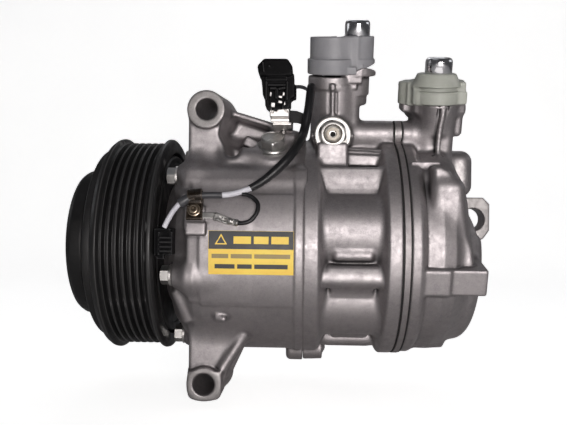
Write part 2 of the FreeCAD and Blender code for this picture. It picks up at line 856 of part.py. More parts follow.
# ------------------------------------------------------ cylinder block
@piece
def cylinder_block():
    seam = dims.seam_front
    end = dims.block_end
    block = revolve([
        (seam, 0.0), (seam, dims.band_rad), (seam + 6.0, dims.band_rad),
        (seam + 9.5, dims.waist_rad), (end - 9.5, dims.waist_rad),
        (end - 6.0, dims.band_rear_rad), (end, dims.band_rear_rad), (end, 0.0),
    ], "block")
    adds = around(BORE_ANGLES, dims.piston_circle, 20.6, seam + 3.0, 40.0)
    adds += around(BOLT_ANGLES, dims.bolt_circle, 5.6, seam + 3.0, 40.0)
    adds.append(cyl(LOBE_RAD, 11.8, (seam, 0, LOBE_Z)))
    # left port: tower, flange and relief valve boss
    adds += [
        port_cyl(12.0, 46.0, LEFT_PORT, -3.4, 0, -46.0),
        port_box((13.0, 16.0, 46.0), LEFT_PORT, -3.0, -8.0, -46.0),
        port_cyl(12.2, FLANGE_THICK, LEFT_PORT, *LEFT_BORE, -FLANGE_THICK),
        port_cyl(8.9, FLANGE_THICK, LEFT_PORT, *LEFT_SCREW, -FLANGE_THICK),
        port_box((12.6, 17.8, FLANGE_THICK), LEFT_PORT, -4.6, -8.9, -FLANGE_THICK),
        relief_cyl(10.4, 22.0, 0.0),
    ]
    # passage, with a block beside it at the rear face
    adds += [
        passage(PASSAGE_OUTER, 106.0, end - 106.0),
        box((23.4, 26.0, 8.0), (end - 23.4, -32.0, 43.5)),
    ]

    cuts = around(BORE_ANGLES, dims.piston_circle, dims.bore_rad, seam - 5.0, 60.0)
    cuts += around(BOLT_ANGLES, dims.bolt_circle, dims.bolt_clear, seam - 5.0, 60.0)
    cuts += [
        port_cyl(7.0, 40.0, LEFT_PORT, *LEFT_BORE, -39.0),
        port_cyl(9.0, 2.6, LEFT_PORT, *LEFT_BORE, -2.5),
        port_cyl(PORT_SCREW_RAD, 16.0, LEFT_PORT, *LEFT_SCREW, -15.0),
        relief_cyl(RELIEF_RAD, 16.0, 1.0),
        passage(PASSAGE_BORE, 109.0, 40.0),
    ]
    # shaft clearance, bearing bore and the centre hole to the rear face
    cuts += [
        cyl(10.2, 14.0, (seam - 2, 0, 0)),
        cyl(REAR_NEEDLE_OUTER, 26.0, (96.0, 0, 0)),
        cyl(6.0, 40.0, (110.0, 0, 0)),
    ]
    cuts += joint_dowels(seam - 1.0, 6.0)
    cuts.append(rear_dowel(end - 5.0, 6.0))
    # groove for the O-ring
    cuts.append(cut(cyl(55.1, 2.5, (seam - 1.0, 0, 0)), [cyl(53.6, 3.5, (seam - 1.5, 0, 0))]))
    return cut(fuse([block] + adds), cuts)


@piece
def housing_o_ring():
    return torus(54.35, 0.7, dims.seam_front + 0.72)


# ------------------------------------------ plates between block and head
INNER_PORTS = 26.0
OUTER_PORTS = 40.0
GASKET_RAD = dims.band_rear_rad - 0.2
REED_RAD = 55.5

# from front to rear: label, thickness, radius,
# holes at each bore as (distance from the shaft, hole radius)
PLATES = [
    ("front_gasket", 0.5, GASKET_RAD, [(dims.piston_circle, 13.5)]),
    ("suction_reed_plate", 0.3, REED_RAD, [(INNER_PORTS, 2.4)]),
    ("valve_plate", 2.6, dims.band_rear_rad, [(INNER_PORTS, 2.6), (OUTER_PORTS, 2.6)]),
    ("discharge_reed_plate", 0.3, REED_RAD, [(OUTER_PORTS, 2.4)]),
    ("rear_gasket", 0.6, GASKET_RAD, [(INNER_PORTS, 2.8), (OUTER_PORTS, 2.8)]),
]


def plate(start, thick, radius, ports):
    disc = fuse([cyl(radius, thick, (start, 0, 0)), passage(PASSAGE_OUTER, start, thick)])
    tool_start = start - 3
    tools = [passage(PASSAGE_BORE, tool_start, 10), rear_dowel(tool_start, 10)]
    tools += around(BOLT_ANGLES, dims.bolt_circle, dims.bolt_clear, tool_start, 10)
    for angle in BORE_ANGLES:
        for distance, hole_rad in ports:
            tools.append(cyl(hole_rad, 10, polar(distance, angle, tool_start)))
    return cut(disc, tools)


plate_start = dims.block_end
for label, thick, radius, ports in PLATES:
    node(plate(plate_start, thick, radius, ports), label)
    plate_start = plate_start + thick


# ----------------------------------------------------------- rear head
@piece
def rear_head():
    start = dims.head_start
    end = dims.head_end
    rim = dims.band_rear_rad - 0.8
    barrel = revolve([
        (start, 0.0), (start, rim), (start + 4.6, rim),
        (start + 6.6, dims.head_rad - 1.2), (start + 9.0, dims.head_rad),
        (end - 13.0, dims.head_rad - 2.0), (end - 5.0, dims.head_rad - 9.0),
        (end, dims.head_rad - 19.0), (end, 0.0),
    ], "head")
    # raised panel on the label side; the rear corner above it is cut on a slope
    panel = box((24.0, 18.0, 44.0), (end - 28.0, -47.0, -6.0))
    corner = box((40.0, 52.0, 60.0), (end - 6.5, -62.0, 20.0), about_y(-20.9))
    head = cut(fuse([barrel, panel]), [corner])

    # bolt bosses, with a bar in place of the label side's one
    adds = around(BOLT_ANGLES[1:], dims.bolt_circle, 5.8, start, 24.0)
    adds.append(radial_box((38.0, 11.4, 24.0), start + 0.5, 30.0, BOLT_ANGLES[0]))
    # right port
    adds += [
        port_cyl(12.4, FLANGE_THICK, RIGHT_PORT, 0, 5.0, -FLANGE_THICK),
        port_cyl(9.5, FLANGE_THICK, RIGHT_PORT, 0, -6.0, -FLANGE_THICK),
        port_box((24.8, 11.0, FLANGE_THICK), RIGHT_PORT, -12.4, -6.0, -FLANGE_THICK),
        port_box((14.0, 14.0, FLANGE_THICK), RIGHT_PORT, -20.0, -2.0, -FLANGE_THICK),
        port_cyl(10.6, 44.0, RIGHT_PORT, -1.6, 3.0, -44.0),
        port_box((22.0, 12.0, 40.0), RIGHT_PORT, -12.6, -4.0, -40.0),
    ]
    # passage and control valve barrel
    adds += [passage(PASSAGE_OUTER, start, 17.0), control_cyl(12.6, 30.0, 8.0)]
    # rear ear, its two rear corners cut at 45 degrees
    ear = box(
        (30.8, dims.rear_ear_thick, 24.4),
        (160.0, dims.rear_ear_face, dims.rear_ear_height - 11.7),
    )
    diagonal = about_y(45.0)
    corners = [
        box((12.0, 40.0, 12.0), (185.4, -2.0, 29.4), diagonal),
        box((12.0, 40.0, 16.0), (182.8, -2.0, 1.0), diagonal),
    ]
    adds.append(cut(ear, corners))

    cuts = around(BOLT_ANGLES, dims.bolt_circle, dims.bolt_rad, start - 1, 23.0)
    ear_base = (dims.rear_ear_pos, dims.rear_ear_face - 15, dims.rear_ear_height)
    cuts += [
        port_cyl(6.5, 34.0, RIGHT_PORT, *RIGHT_BORE, -33.0),
        port_cyl(8.5, 2.6, RIGHT_PORT, *RIGHT_BORE, -2.5),
        port_cyl(PORT_SCREW_RAD, 16.0, RIGHT_PORT, *RIGHT_SCREW, -15.0),
        passage(PASSAGE_BORE, start - 1, 14.0),
        control_cyl(7.5, 27.0, 12.0),
        control_cyl(8.6, 1.2, CONTROL_CLIP_Y),
        cyl(dims.rear_ear_bore, dims.rear_ear_thick + 30, ear_base, ALONG_Y),
    ]
    # suction gallery round the outside and discharge chamber in the middle
    cuts += [
        sleeve(45.0, 33.5, 20.0, (start - 1, 0, 0)),
        cyl(30.0, 17.0, (start - 1, 0, 0)),
        rear_dowel(start - 1.0, 6.5),
    ]
    return cut(fuse([head] + adds), cuts)


# ------------------------------------------------------------ hardware
@piece
def through_bolts():
    shank_start = dims.bolt_seat - 2.0
    shank_length = dims.head_start + 22.0 - shank_start
    bolts = []
    for angle in BOLT_ANGLES:
        head = hexagon(8.0, 4.2, polar(dims.bolt_circle, angle, dims.bolt_seat - 5.6))
        base = polar(dims.bolt_circle, angle, shank_start)
        bolts.append(fuse([head, cyl(dims.bolt_rad, shank_length, base)]))
    return bundle(bolts)


@piece
def bolt_washers():
    washers = []
    for angle in BOLT_ANGLES:
        disc = cyl(5.2, 1.4, polar(dims.bolt_circle, angle, dims.bolt_seat - 1.4))
        base = polar(dims.bolt_circle, angle, dims.bolt_seat - 3.0)
        washers.append(cut(disc, [cyl(dims.bolt_rad, 4.0, base)]))
    return bundle(washers)


@piece
def locating_dowels():
    front = joint_dowels(dims.seam_front - 5.0, 10.0)
    return bundle(front + [rear_dowel(dims.block_end - 5.0, 14.0)])


@piece
def oil_plug_washer():
    return cut(plug_cyl(8.4, 1.2, 60.0), [plug_cyl(PLUG_RAD, 4.0, 58.5)])


@piece
def oil_plug():
    return fuse([
        plug_cyl(8.9, 1.8, 61.2),
        hexagon(12.4, 6.0, polar(62.8, PLUG_ANGLE, PLUG_X), PLUG_AXIS),
        plug_cyl(PLUG_RAD, 14.0, 48.0),
    ])


@piece
def relief_valve_washer():
    return cut(relief_cyl(8.6, 1.0, 1.0), [relief_cyl(RELIEF_RAD, 3.0, 2.0)])


@piece
def relief_valve():
    body = fuse([
        relief_cyl(8.6, 3.4, 4.4),
        hexagon(14.0, 5.0, relief_point(9.0), ALONG_Y),
        relief_cyl(RELIEF_RAD, 14.0, 2.0),
    ])
    return cut(body, [relief_cyl(1.4, 40.0, 10.0), relief_cyl(3.7, 1.5, 9.5)])


@piece
def control_valve():
    body = fuse([control_cyl(7.5, 22.5, 12.3), control_cyl(5.5, 1.0, 34.3)])
    return cut(body, [control_cyl(3.6, 6.0, 31.0)])


@piece
def control_valve_circlip():
    """Drawn at the origin along X, then turned along Y into its groove."""
    clip = cut(ring(5.6, 8.6, 0.0, 1.2, "clip"), [box((4, 3, 12), (-1, -1.5, 3))])
    clip.Placement = Placement(
        Vector(CONTROL_X, CONTROL_CLIP_Y, CONTROL_Z), Rotation(Vector(1, 0, 0), Vector(0, 1, 0))
    )
    return clip


# --------------------------------------------------------- port covers
@piece
def left_port_cap():
    cap = fuse([
        port_cyl(11.6, 18.4, LEFT_PORT, -4.4, 0, 0),
        port_cyl(8.6, 15.0, LEFT_PORT, *LEFT_SCREW, 0),
        port_box((12.4, 17.2, 15.0), LEFT_PORT, -4.4, -8.6, 0),
    ])
    return cut(cap, [
        port_cyl(9.6, 9.0, LEFT_PORT, -4.4, 0, 10.0),
        port_cyl(PORT_SCREW_RAD, 30.0, LEFT_PORT, *LEFT_SCREW, -5),
        port_cyl(6.45, 8.0, LEFT_PORT, *LEFT_SCREW, 15.0),
    ])


@piece
def right_port_cap():
    cap = fuse([
        port_cyl(12.4, 14.6, RIGHT_PORT, 0, 5.0, 0),
        port_cyl(9.5, 14.6, RIGHT_PORT, 0, -6.0, 0),
        port_box((24.8, 11.0, 10.0), RIGHT_PORT, -12.4, -6.0, 0),
        port_box((14.0, 14.0, 11.0), RIGHT_PORT, -20.0, -2.0, 0),
    ])
    return cut(cap, [
        port_cyl(9.6, 8.0, RIGHT_PORT, *RIGHT_BORE, 8.0),
        port_cyl(PORT_SCREW_RAD, 30.0, RIGHT_PORT, *RIGHT_SCREW, -5),
    ])


@piece
def port_cap_screws():
    left = fuse([
        port_cyl(6.4, 12.6, LEFT_PORT, *LEFT_SCREW, 15.0),
        port_cyl(PORT_SCREW_RAD, 29.0, LEFT_PORT, *LEFT_SCREW, -13.0),
    ])
    right = fuse([
        port_cyl(6.9, 8.4, RIGHT_PORT, *RIGHT_SCREW, 14.6),
        port_cyl(PORT_SCREW_RAD, 28.6, RIGHT_PORT, *RIGHT_SCREW, -13.0),
    ])
    return bundle([left, right])


@piece
def port_seals():
    return bundle([
        cut(port_cyl(outer, 2.5, port, *bore, -2.5), [port_cyl(inner, 4.0, port, *bore, -3.0)])
        for outer, inner, port, bore in (
            (9.0, 7.0, LEFT_PORT, LEFT_BORE),
            (8.5, 6.5, RIGHT_PORT, RIGHT_BORE),
        )
    ])


# ------------------------------------------------- coil lead and connector
@piece
def coil_connector():
    return fuse([
        box((4.6, 12.0, 12.0), (15.9, -59.5, -3.0)),
        box((3.0, 4.0, 8.0), (15.6, -50.5, -1.0)),
    ])


def stations(*rows):
    """Points of a lead, from rows of (radius, angle, x)."""
    return [polar(*row) for row in rows]


# the coil's lead in four lengths, each starting where the last one ends
SLEEVE = stations((60.4, 9.5, 18.9), (60.9, 13.5, 20.8), (60.9, 18.0, 24.0), (61.0, 21.0, 28.0))
SHRINK = SLEEVE[-1:] + stations((61.2, 22.6, 33.0), (61.2, 23.6, 39.0), (60.6, 24.4, 47.5))
SLEEVE_END = SHRINK[-1:] + stations((60.4, 25.6, 53.0), (60.4, 28.0, 59.5))
CABLE = SLEEVE_END[-1:] + stations(
    (60.6, 31.5, 65.6), (63.0, 36.5, 72.6), (66.0, 43.0, 79.4), (67.5, 50.5, 83.6),
    (68.5, 58.0, 85.6),
) + [  # x, y, z
    (86.6, -34.0, 69.0), (86.8, -31.4, 77.0), (85.6, -30.2, 82.2), (82.4, -31.8, 84.8),
    (79.8, -36.6, 84.8),
]
LEAD = stations(
    (59.6, 14.2, 54.2), (59.4, 15.0, 57.0), (59.6, 18.0, 60.4), (59.6, 22.0, 59.8),
    (58.2, 23.4, 57.2),
)


def across(before, after):
    """The direction in which one lead runs on into the next."""
    return Vector(*after[1]) - Vector(*before[-2])


SLEEVE_TO_SHRINK = across(SLEEVE, SHRINK)
SHRINK_TO_END = across(SHRINK, SLEEVE_END)
END_TO_CABLE = across(SLEEVE_END, CABLE)


def lead(path, radius, start=None, end=None):
    """A round lead along a smooth curve through the given points, leaving
    and arriving in the given directions."""
    points = [Vector(*point) for point in path]
    first = points[1] - points[0] if start is None else start
    last = points[-1] - points[-2] if end is None else end
    curve = Part.BSplineCurve()
    curve.interpolate(Points=points, InitialTangent=first, FinalTangent=last)
    spine = Part.Wire([curve.toShape()])
    tangent = curve.tangent(curve.FirstParameter)[0]
    rim = Part.Wire([Part.Circle(points[0], tangent, radius).toShape()])
    part = fresh("Part::Feature", "lead")
    part.Shape = spine.makePipeShell([rim], True, False)
    return part


@piece
def cable_sleeves():
    return bundle([
        lead(SLEEVE, 1.7, end=SLEEVE_TO_SHRINK),
        lead(SHRINK, 2.3, start=SLEEVE_TO_SHRINK, end=SHRINK_TO_END),
        lead(SLEEVE_END, 1.9, start=SHRINK_TO_END, end=END_TO_CABLE),
    ])


@piece
def coil_cable():
    return lead(CABLE, 2.3, start=END_TO_CABLE, end=Vector(0.0, -1.0, 0.0))


@piece
def ground_lead():
    return lead(LEAD, 0.9, start=Vector(1.0, 0.0, 0.0))


@piece
def ground_terminal():
    return fuse([
        radial_box((9.6, 4.2, 0.8), 39.4, 58.4, 14.0),
        radial_box((3.4, 3.0, 2.4), 48.0, 58.2, 14.0),
        cyl(1.4, 4.0, polar(59.4, 13.9, 50.2)),
    ])


@piece
def cable_clamp():
    """Strap on the pad, with a band round the lead."""
    strap = radial_box((7.4, 12.0, 1.2), 30.8, 58.4, PAD_ANGLE)
    band = cut(
        cyl(3.7, 5.0, polar(61.2, 22.8, 32.0)), [cyl(2.5, 7.0, polar(61.2, 22.8, 31.0))]
    )
    room = lead(SHRINK, 2.42, start=SLEEVE_TO_SHRINK, end=SHRINK_TO_END)
    return cut(fuse([strap, band]), [pad_cyl(PAD_SCREW_RAD, 6.0, 57.0), room])


@piece
def clamp_screw():
    return fuse([pad_cyl(PAD_SCREW_RAD, 10.0, 52.0), pad_cyl(3.0, 2.4, 59.6)])


@piece
def harness_connector():
    tilt = about_y(-6.0)
    body = fuse([
        box((21.0, 13.0, 13.0), (62.0, -48.5, 78.0), tilt),
        box((17.5, 11.0, 12.0), (64.6, -47.5, 67.6), tilt),
        box((14.0, 9.0, 5.0), (66.2, -46.5, 89.5), tilt),
    ])
    cable_x, cable_y, cable_z = CABLE[-1]
    return cut(body, [cyl(2.7, 4.0, (cable_x, cable_y - 1.0, cable_z), ALONG_Y)])


@piece
def connector_bracket():
    upright = box((9.0, 1.4, 17.0), (70.4, -36.5, 60.5))
    foot = box((9.2, 1.4, 12.4), (70.2, -36.5, 61.3), about_x(-100.0))
    return cut(fuse([upright, foot]), [foot_cyl(1.5, 8.0, 4.0)])


@piece
def bracket_screw():
    return fuse([foot_cyl(3.0, 2.0, 0.0), foot_cyl(1.5, 9.5, 9.0)])


@piece
def caution_label():
    """A thin patch of the barrel's surface, cut out by a sector."""
    skin = sleeve(57.25, dims.barrel_rad, 36.2, (45.2, 0, 0))
    along = about_x(180.0 - 8.6).multiply(about_y(90.0))
    along = along.multiply(Rotation(Vector(0, 0, 1), 90.0))
    return common(skin, wedge(70.0, 60.0, 22.4, (30.0, 0, 0), along))


# -------------------------------------------------- check and write out
doc.recompute()
bad = []
for part in doc.Objects:
    if "Invalid" in part.State or "Error" in part.State:
        bad.append("%s (%s): %s" % (part.Name, part.Label, ",".join(part.State)))
for part in NODES:
    if part.Shape.isNull():
        bad.append(part.Label + ": empty")
    elif not part.Shape.isValid():
        bad.append(part.Label + ": not valid")
    elif not part.Shape.Solids:
        bad.append(part.Label + ": no solid")
if bad:
    raise SystemExit("\n".join(bad))
os.makedirs("parts", exist_ok=True)
for part in NODES:
    part.Shape.exportStep("parts/%s.step" % part.Label)
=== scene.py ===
"""A swash-plate compressor with its belt clutch, port covers, wiring and label.

The shaft lies along X: the clutch is at the -X end and the rear head at the +X end. Z is up and
the label faces -Y. Lengths are in millimetres, apart from the shaders and the stage, in metres.
Angles round the shaft are in degrees from -Y towards +Z.
"""
import math
from itertools import product
import bpy
import bmesh
import numpy as np
from mathutils import Vector, Matrix


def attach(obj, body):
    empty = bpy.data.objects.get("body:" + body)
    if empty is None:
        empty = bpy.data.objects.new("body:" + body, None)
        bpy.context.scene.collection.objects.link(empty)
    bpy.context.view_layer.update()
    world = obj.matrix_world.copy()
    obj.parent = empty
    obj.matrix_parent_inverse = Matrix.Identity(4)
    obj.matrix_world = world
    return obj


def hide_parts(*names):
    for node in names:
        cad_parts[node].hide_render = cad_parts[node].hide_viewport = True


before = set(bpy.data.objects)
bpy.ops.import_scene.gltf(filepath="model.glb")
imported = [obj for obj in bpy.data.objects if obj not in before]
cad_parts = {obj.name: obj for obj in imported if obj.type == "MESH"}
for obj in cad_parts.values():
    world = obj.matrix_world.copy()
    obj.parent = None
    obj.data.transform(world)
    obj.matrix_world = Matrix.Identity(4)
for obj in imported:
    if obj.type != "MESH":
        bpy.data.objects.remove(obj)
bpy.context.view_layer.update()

MM = 0.001
COARSE = 0.55   # grid step of the castings
FINE = 0.26    # grid step of the small pieces
CORNERS = list(product((0, 1), repeat=3))
FAR = 30.0                        # distance held by an empty grid
HOLLOW_REACH = 2.2                # how far out of a surface hollowness is felt for
EDGE_REACH = 1.1                  # how far under a surface an edge is felt for

BOLT_RING = 50.0
BOLT_ANGLES = [-15.5 + 60 * k for k in range(6)]
BORE_RING = 34
BORE_ANGLES = [14.5 + 60 * k for k in range(6)]
EAR_X, EAR_Z = 37.2, 68.4         # front mounting bosses, one above and one below
REAR_EAR_X, REAR_EAR_Z = 182.8, 14.7
DOWEL_Z = -57.6
OIL_PLUG_X, OIL_PLUG_ANGLE = 70.3, 54
RELIEF_X, RELIEF_Z = 100.1, 57.0
CONTROL_X, CONTROL_Z = 169.4, 41.0


# ------------------------------------------------------------------ fields
# Solid shapes are written as distance fields, joined with soft fillets as in a casting, and
# turned into meshes at the end. A shape is (distance function, low corner, high corner).
def smooth_min(first, second, fillet):
    if fillet <= 0:
        return np.minimum(first, second)
    share = np.clip(0.5 + 0.5 * (second - first) / fillet, 0, 1)
    return second * (1 - share) + first * share - fillet * share * (1 - share)


def corner_distance(first, second):
    outside = np.sqrt(np.maximum(first, 0) ** 2 + np.maximum(second, 0) ** 2)
    return np.minimum(np.maximum(first, second), 0) + outside


class Field:
    """Distances on a grid, negative inside the solid."""

    def __init__(self, low, high, step):
        self.low = np.array(low, float)
        self.step = step
        self.size = tuple(int(math.ceil((b - a) / step)) + 1 for a, b in zip(low, high))
        self.values = np.full(self.size, FAR, np.float32)

    def window(self, low, high, margin):
        """The part of the grid near a box: its slices and coordinates."""
        slices, coords = [], []
        for axis in range(3):
            base = self.low[axis]
            start = max(0, int(math.floor((low[axis] - margin - base) / self.step)))
            stop = int(math.ceil((high[axis] + margin - base) / self.step)) + 1
            stop = min(self.size[axis], stop)
            if stop <= start:
                return None
            slices.append(slice(start, stop))
            line = (base + self.step * np.arange(start, stop)).astype(np.float32)
            coords.append(line.reshape([-1 if k == axis else 1 for k in range(3)]))
        return tuple(slices), coords

    def combine(self, sign, fillet, shapes):
        for distance, low, high in shapes:
            found = self.window(low, high, fillet + 3 * self.step)
            if found:
                region, coords = found
                old = self.values[region]
                new = np.broadcast_to(distance(*coords), old.shape)
                self.values[region] = sign * smooth_min(sign * old, new, fillet)

    def add(self, fillet, *shapes):
        self.combine(1, fillet, shapes)

    def cut(self, fillet, *shapes):
        self.combine(-1, fillet, shapes)

    def sample(self, points):
        """Trilinear values at the points."""
        place = (points - self.low) / self.step
        place = np.clip(place, 0, np.array(self.size) - 1.001)
        cell = place.astype(np.int64)
        part = (place - cell).astype(np.float32)
        sides = [(1 - part[:, axis], part[:, axis]) for axis in range(3)]
        rows, depth = self.size[1:]
        base = (cell[:, 0] * rows + cell[:, 1]) * depth + cell[:, 2]
        flat = self.values.ravel()
        total = np.zeros(len(points), np.float32)
        for i, j, k in CORNERS:
            weight = sides[0][i] * sides[1][j] * sides[2][k]
            total += weight * flat[base + (i * rows + j) * depth + k]
        return total

    def gradient(self, points):
        steps = np.eye(3) * (0.5 * self.step)
        slope = np.stack([self.sample(points + s) - self.sample(points - s) for s in steps], 1)
        return slope / np.maximum(np.linalg.norm(slope, axis=1, keepdims=True), 1e-6)

    def surface(self):
        """Vertices, quads, and how hollow and how edge-like each vertex is."""
        values = self.values
        # the border is made empty, so that every mesh closes inside the grid
        for face in (values[0], values[-1], values[:, 0], values[:, -1],
                     values[:, :, 0], values[:, :, -1]):
            np.maximum(face, 0.01, out=face)
        inside = values < 0
        count = np.zeros(tuple(n - 1 for n in self.size), np.int8)
        for corner in CORNERS:
            count += inside[tuple(slice(c, n - 1 + c) for c, n in zip(corner, self.size))]
        mixed = (count > 0) & (count < 8)
        cells = np.argwhere(mixed)
        index = np.full(count.shape, -1, np.int32)
        index[mixed] = np.arange(len(cells), dtype=np.int32)

        # one vertex per mixed cell, at the mean of the crossings on its edges
        at_corner = {corner: values[tuple((cells + corner).T)] for corner in CORNERS}
        total = np.zeros((len(cells), 3), np.float32)
        hits = np.zeros(len(cells), np.float32)
        for corner, first in at_corner.items():
            for axis in range(3):
                if corner[axis]:
                    continue
                other = at_corner[tuple(1 if k == axis else corner[k] for k in range(3))]
                crossing = (first < 0) != (other < 0)
                spot = np.tile(np.array(corner, np.float32), (len(cells), 1))
                gap = np.where(crossing, first - other, 1)
                spot[:, axis] = np.where(crossing, first / gap, 0)
                total += spot * crossing[:, None]
                hits += crossing
        verts = self.low + self.step * (cells + total / hits[:, None])

        # one quad round each grid edge that crosses the surface
        quads = []
        for axis in range(3):
            edges = np.argwhere(np.diff(inside, axis=axis))
            ring = []
            for first, second in ((-1, -1), (0, -1), (0, 0), (-1, 0)):
                cell = edges.copy()
                cell[:, (axis + 1) % 3] += first
                cell[:, (axis + 2) % 3] += second
                ring.append(index[tuple(cell.T)])
            ring = np.stack(ring, 1)
            reverse = ~inside[tuple(edges.T)]
            ring[reverse] = ring[reverse][:, ::-1]
            quads.append(ring)

        limit = 0.4 * self.step
        for _ in range(2):
            normal = self.gradient(verts)
            verts = verts - np.clip(self.sample(verts), -limit, limit)[:, None] * normal
        normal = self.gradient(verts)
        hollow = 1 - self.sample(verts + normal * HOLLOW_REACH) / HOLLOW_REACH
        edge = 1 + self.sample(verts - normal * EDGE_REACH) / EDGE_REACH
        return verts, np.concatenate(quads), np.clip(hollow, 0, 1), np.clip(edge, 0, 1)


# ------------------------------------------------------------ places, frames
def point(*coords):
    return np.array(coords, float)


def unit(vector):
    vector = np.array(vector, float)
    return vector / np.linalg.norm(vector)


def turn(axis, degrees):
    return np.array(Matrix.Rotation(math.radians(degrees), 3, axis))


def polar(radius, degrees, x=0.0):
    angle = math.radians(degrees)
    return point(x, -radius * math.cos(angle), radius * math.sin(angle))


def facing(degrees):
    """Axes of a frame standing on the barrel: X, round the barrel, outwards."""
    angle = math.radians(degrees)
    outward = point(0, -math.cos(angle), math.sin(angle))
    around = point(0, math.sin(angle), math.cos(angle))
    return np.stack([point(1, 0, 0), around, outward], 1)


# Both ports lean back; their shapes are placed from the centre of each port's rim.
LEAN = turn("X", 17)
PORT_AXIS = LEAN @ point(0, 0, 1)
LEFT = point(104.5, -20.5, 88.8)
RIGHT = point(153.9, -19.0, 76.0)


def lean(port, x, y, z):
    return port + LEAN @ point(x, y, z)


# ------------------------------------------------------------------ shapes
# In every shape, edge is the radius of its rounded edges.
def axial(origin, axis, x, y, z):
    """Distances along a line and out from it."""
    x, y, z = x - origin[0], y - origin[1], z - origin[2]
    along = x * axis[0] + y * axis[1] + z * axis[2]
    return along, np.sqrt(np.maximum(x ** 2 + y ** 2 + z ** 2 - along * along, 0))


def local(origin, axes, x, y, z):
    x, y, z = x - origin[0], y - origin[1], z - origin[2]
    return [x * axes[0, k] + y * axes[1, k] + z * axes[2, k] for k in range(3)]


def box_distance(sides, edge):
    first, second, third = sides
    outside = np.sqrt(np.maximum(first, 0) ** 2 + np.maximum(second, 0) ** 2
                      + np.maximum(third, 0) ** 2)
    return outside + np.minimum(np.maximum(np.maximum(first, second), third), 0) - edge


def cylinder(start, end, radius, edge=0.0, end_radius=None):
    start, end = np.array(start, float), np.array(end, float)
    length = float(np.linalg.norm(end - start))
    axis = (end - start) / length

    def distance(x, y, z):
        along, out = axial(start, axis, x, y, z)
        wall = radius
        if end_radius is not None:
            wall = radius + (end_radius - radius) * np.clip(along / length, 0, 1)
        ends = np.abs(along - length / 2) - length / 2 + edge
        return corner_distance(out - wall + edge, ends) - edge

    reach = max(radius, end_radius or radius) * np.sqrt(np.maximum(1 - axis * axis, 0)) + 0.01
    return distance, np.minimum(start, end) - reach, np.maximum(start, end) + reach


def x_rod(x0, x1, y, z, *sizes):
    """A cylinder along X; sizes are radius, edge and end radius."""
    return cylinder((x0, y, z), (x1, y, z), *sizes)


def y_rod(x, z, y0, y1, *sizes):
    return cylinder((x, y0, z), (x, y1, z), *sizes)


def ring_rod(ring_radius, angle, x0, x1, *sizes):
    """A cylinder along X, placed by its angle round the shaft."""
    return cylinder(polar(ring_radius, angle, x0), polar(ring_radius, angle, x1), *sizes)


def ring_rods(ring_radius, angles, x0, x1, *sizes):
    return [ring_rod(ring_radius, angle, x0, x1, *sizes) for angle in angles]


def radial_rod(angle, x, inner, outer, *sizes):
    return cylinder(polar(inner, angle, x), polar(outer, angle, x), *sizes)


def lean_rod(port, x, y, z0, z1, *sizes):
    return cylinder(lean(port, x, y, z0), lean(port, x, y, z1), *sizes)


def slab(centre, half, edge=0.0, axes=None):
    """A box from its centre and half sizes. The columns of axes are its own axes."""
    centre = np.array(centre, float)
    axes = np.eye(3) if axes is None else np.array(axes)
    half = np.array(half, float)

    def distance(x, y, z):
        sides = local(centre, axes, x, y, z)
        return box_distance([np.abs(sides[k]) - half[k] + edge for k in range(3)], edge)

    reach = np.abs(axes) @ half
    return distance, centre - reach, centre + reach


def lean_slab(port, centre, half, edge=0.0):
    return slab(lean(port, *centre), half, edge, LEAN)


def ball(centre, radius):
    centre = np.array(centre, float)

    def distance(x, y, z):
        x, y, z = x - centre[0], y - centre[1], z - centre[2]
        return np.sqrt(x ** 2 + y ** 2 + z ** 2) - radius

    return distance, centre - radius, centre + radius


def torus(centre, axis, big, small):
    centre, axis = np.array(centre, float), unit(axis)

    def distance(x, y, z):
        along, out = axial(centre, axis, x, y, z)
        return np.sqrt((out - big) ** 2 + along * along) - small

    return distance, centre - big - small, centre + big + small


def polygon(points, across, up):
    """Signed distance to a closed outline, negative inside."""
    squared, odd = np.inf, False
    for (x, y), (last_x, last_y) in zip(points, points[-1:] + points[:-1]):
        run, rise = last_x - x, last_y - y
        dx, dy = across - x, up - y
        share = np.clip((dx * run + dy * rise) / (run * run + rise * rise), 0, 1)
        squared = np.minimum(squared, (dx - run * share) ** 2 + (dy - rise * share) ** 2)
        above, below, beside = up >= y, up < last_y, run * dy > rise * dx
        odd = odd ^ ((above == below) & (below == beside))
    return np.where(odd, -1, 1) * np.sqrt(squared)


def revolved(points, edge=0.0):
    """An outline of (x, radius) turned round the X axis, and grown by edge."""
    top = max(p[1] for p in points) + edge
    step = 0.25

    def distance(x, y, z):
        radii = np.arange(0, 100 / step + 2, dtype=np.float32) * step
        table = polygon(points, x.reshape(-1, 1), radii.reshape(1, -1)) - edge
        table = table.astype(np.float32)
        place = np.sqrt(y * y + z * z)[0] / step
        row = np.minimum(place.astype(int), len(radii) - 2)
        part = place - row
        return table[:, row] * (1 - part)[None] + table[:, row + 1] * part[None]

    xs = [p[0] for p in points]
    return distance, point(min(xs) - edge, -top, -top), point(max(xs) + edge, top, top)


def extruded(points, y0, y1, edge=0.0):
    """An outline of (x, z) drawn out along Y."""
    def distance(x, y, z):
        ends = np.abs(y - (y0 + y1) / 2) - (y1 - y0) / 2 + edge
        return corner_distance(polygon(points, x, z) + edge, ends) - edge

    xs, zs = [p[0] for p in points], [p[1] for p in points]
    return distance, point(min(xs), y0, min(zs)), point(max(xs), y1, max(zs))


def extruded_in(points, origin, axes, depth, edge):
    """An outline in a frame's first two axes, drawn out along its third."""
    origin, axes = np.array(origin, float), np.stack(axes, 1)

    def distance(x, y, z):
        across, up, out = local(origin, axes, x, y, z)
        ends = np.abs(out - depth / 2) - depth / 2 + edge
        return corner_distance(polygon(points, across, up) + edge, ends) - edge

    ends = np.array([[p[0], p[1], a] for p in points for a in (0, depth)]) @ axes.T + origin
    return distance, ends.min(0), ends.max(0)


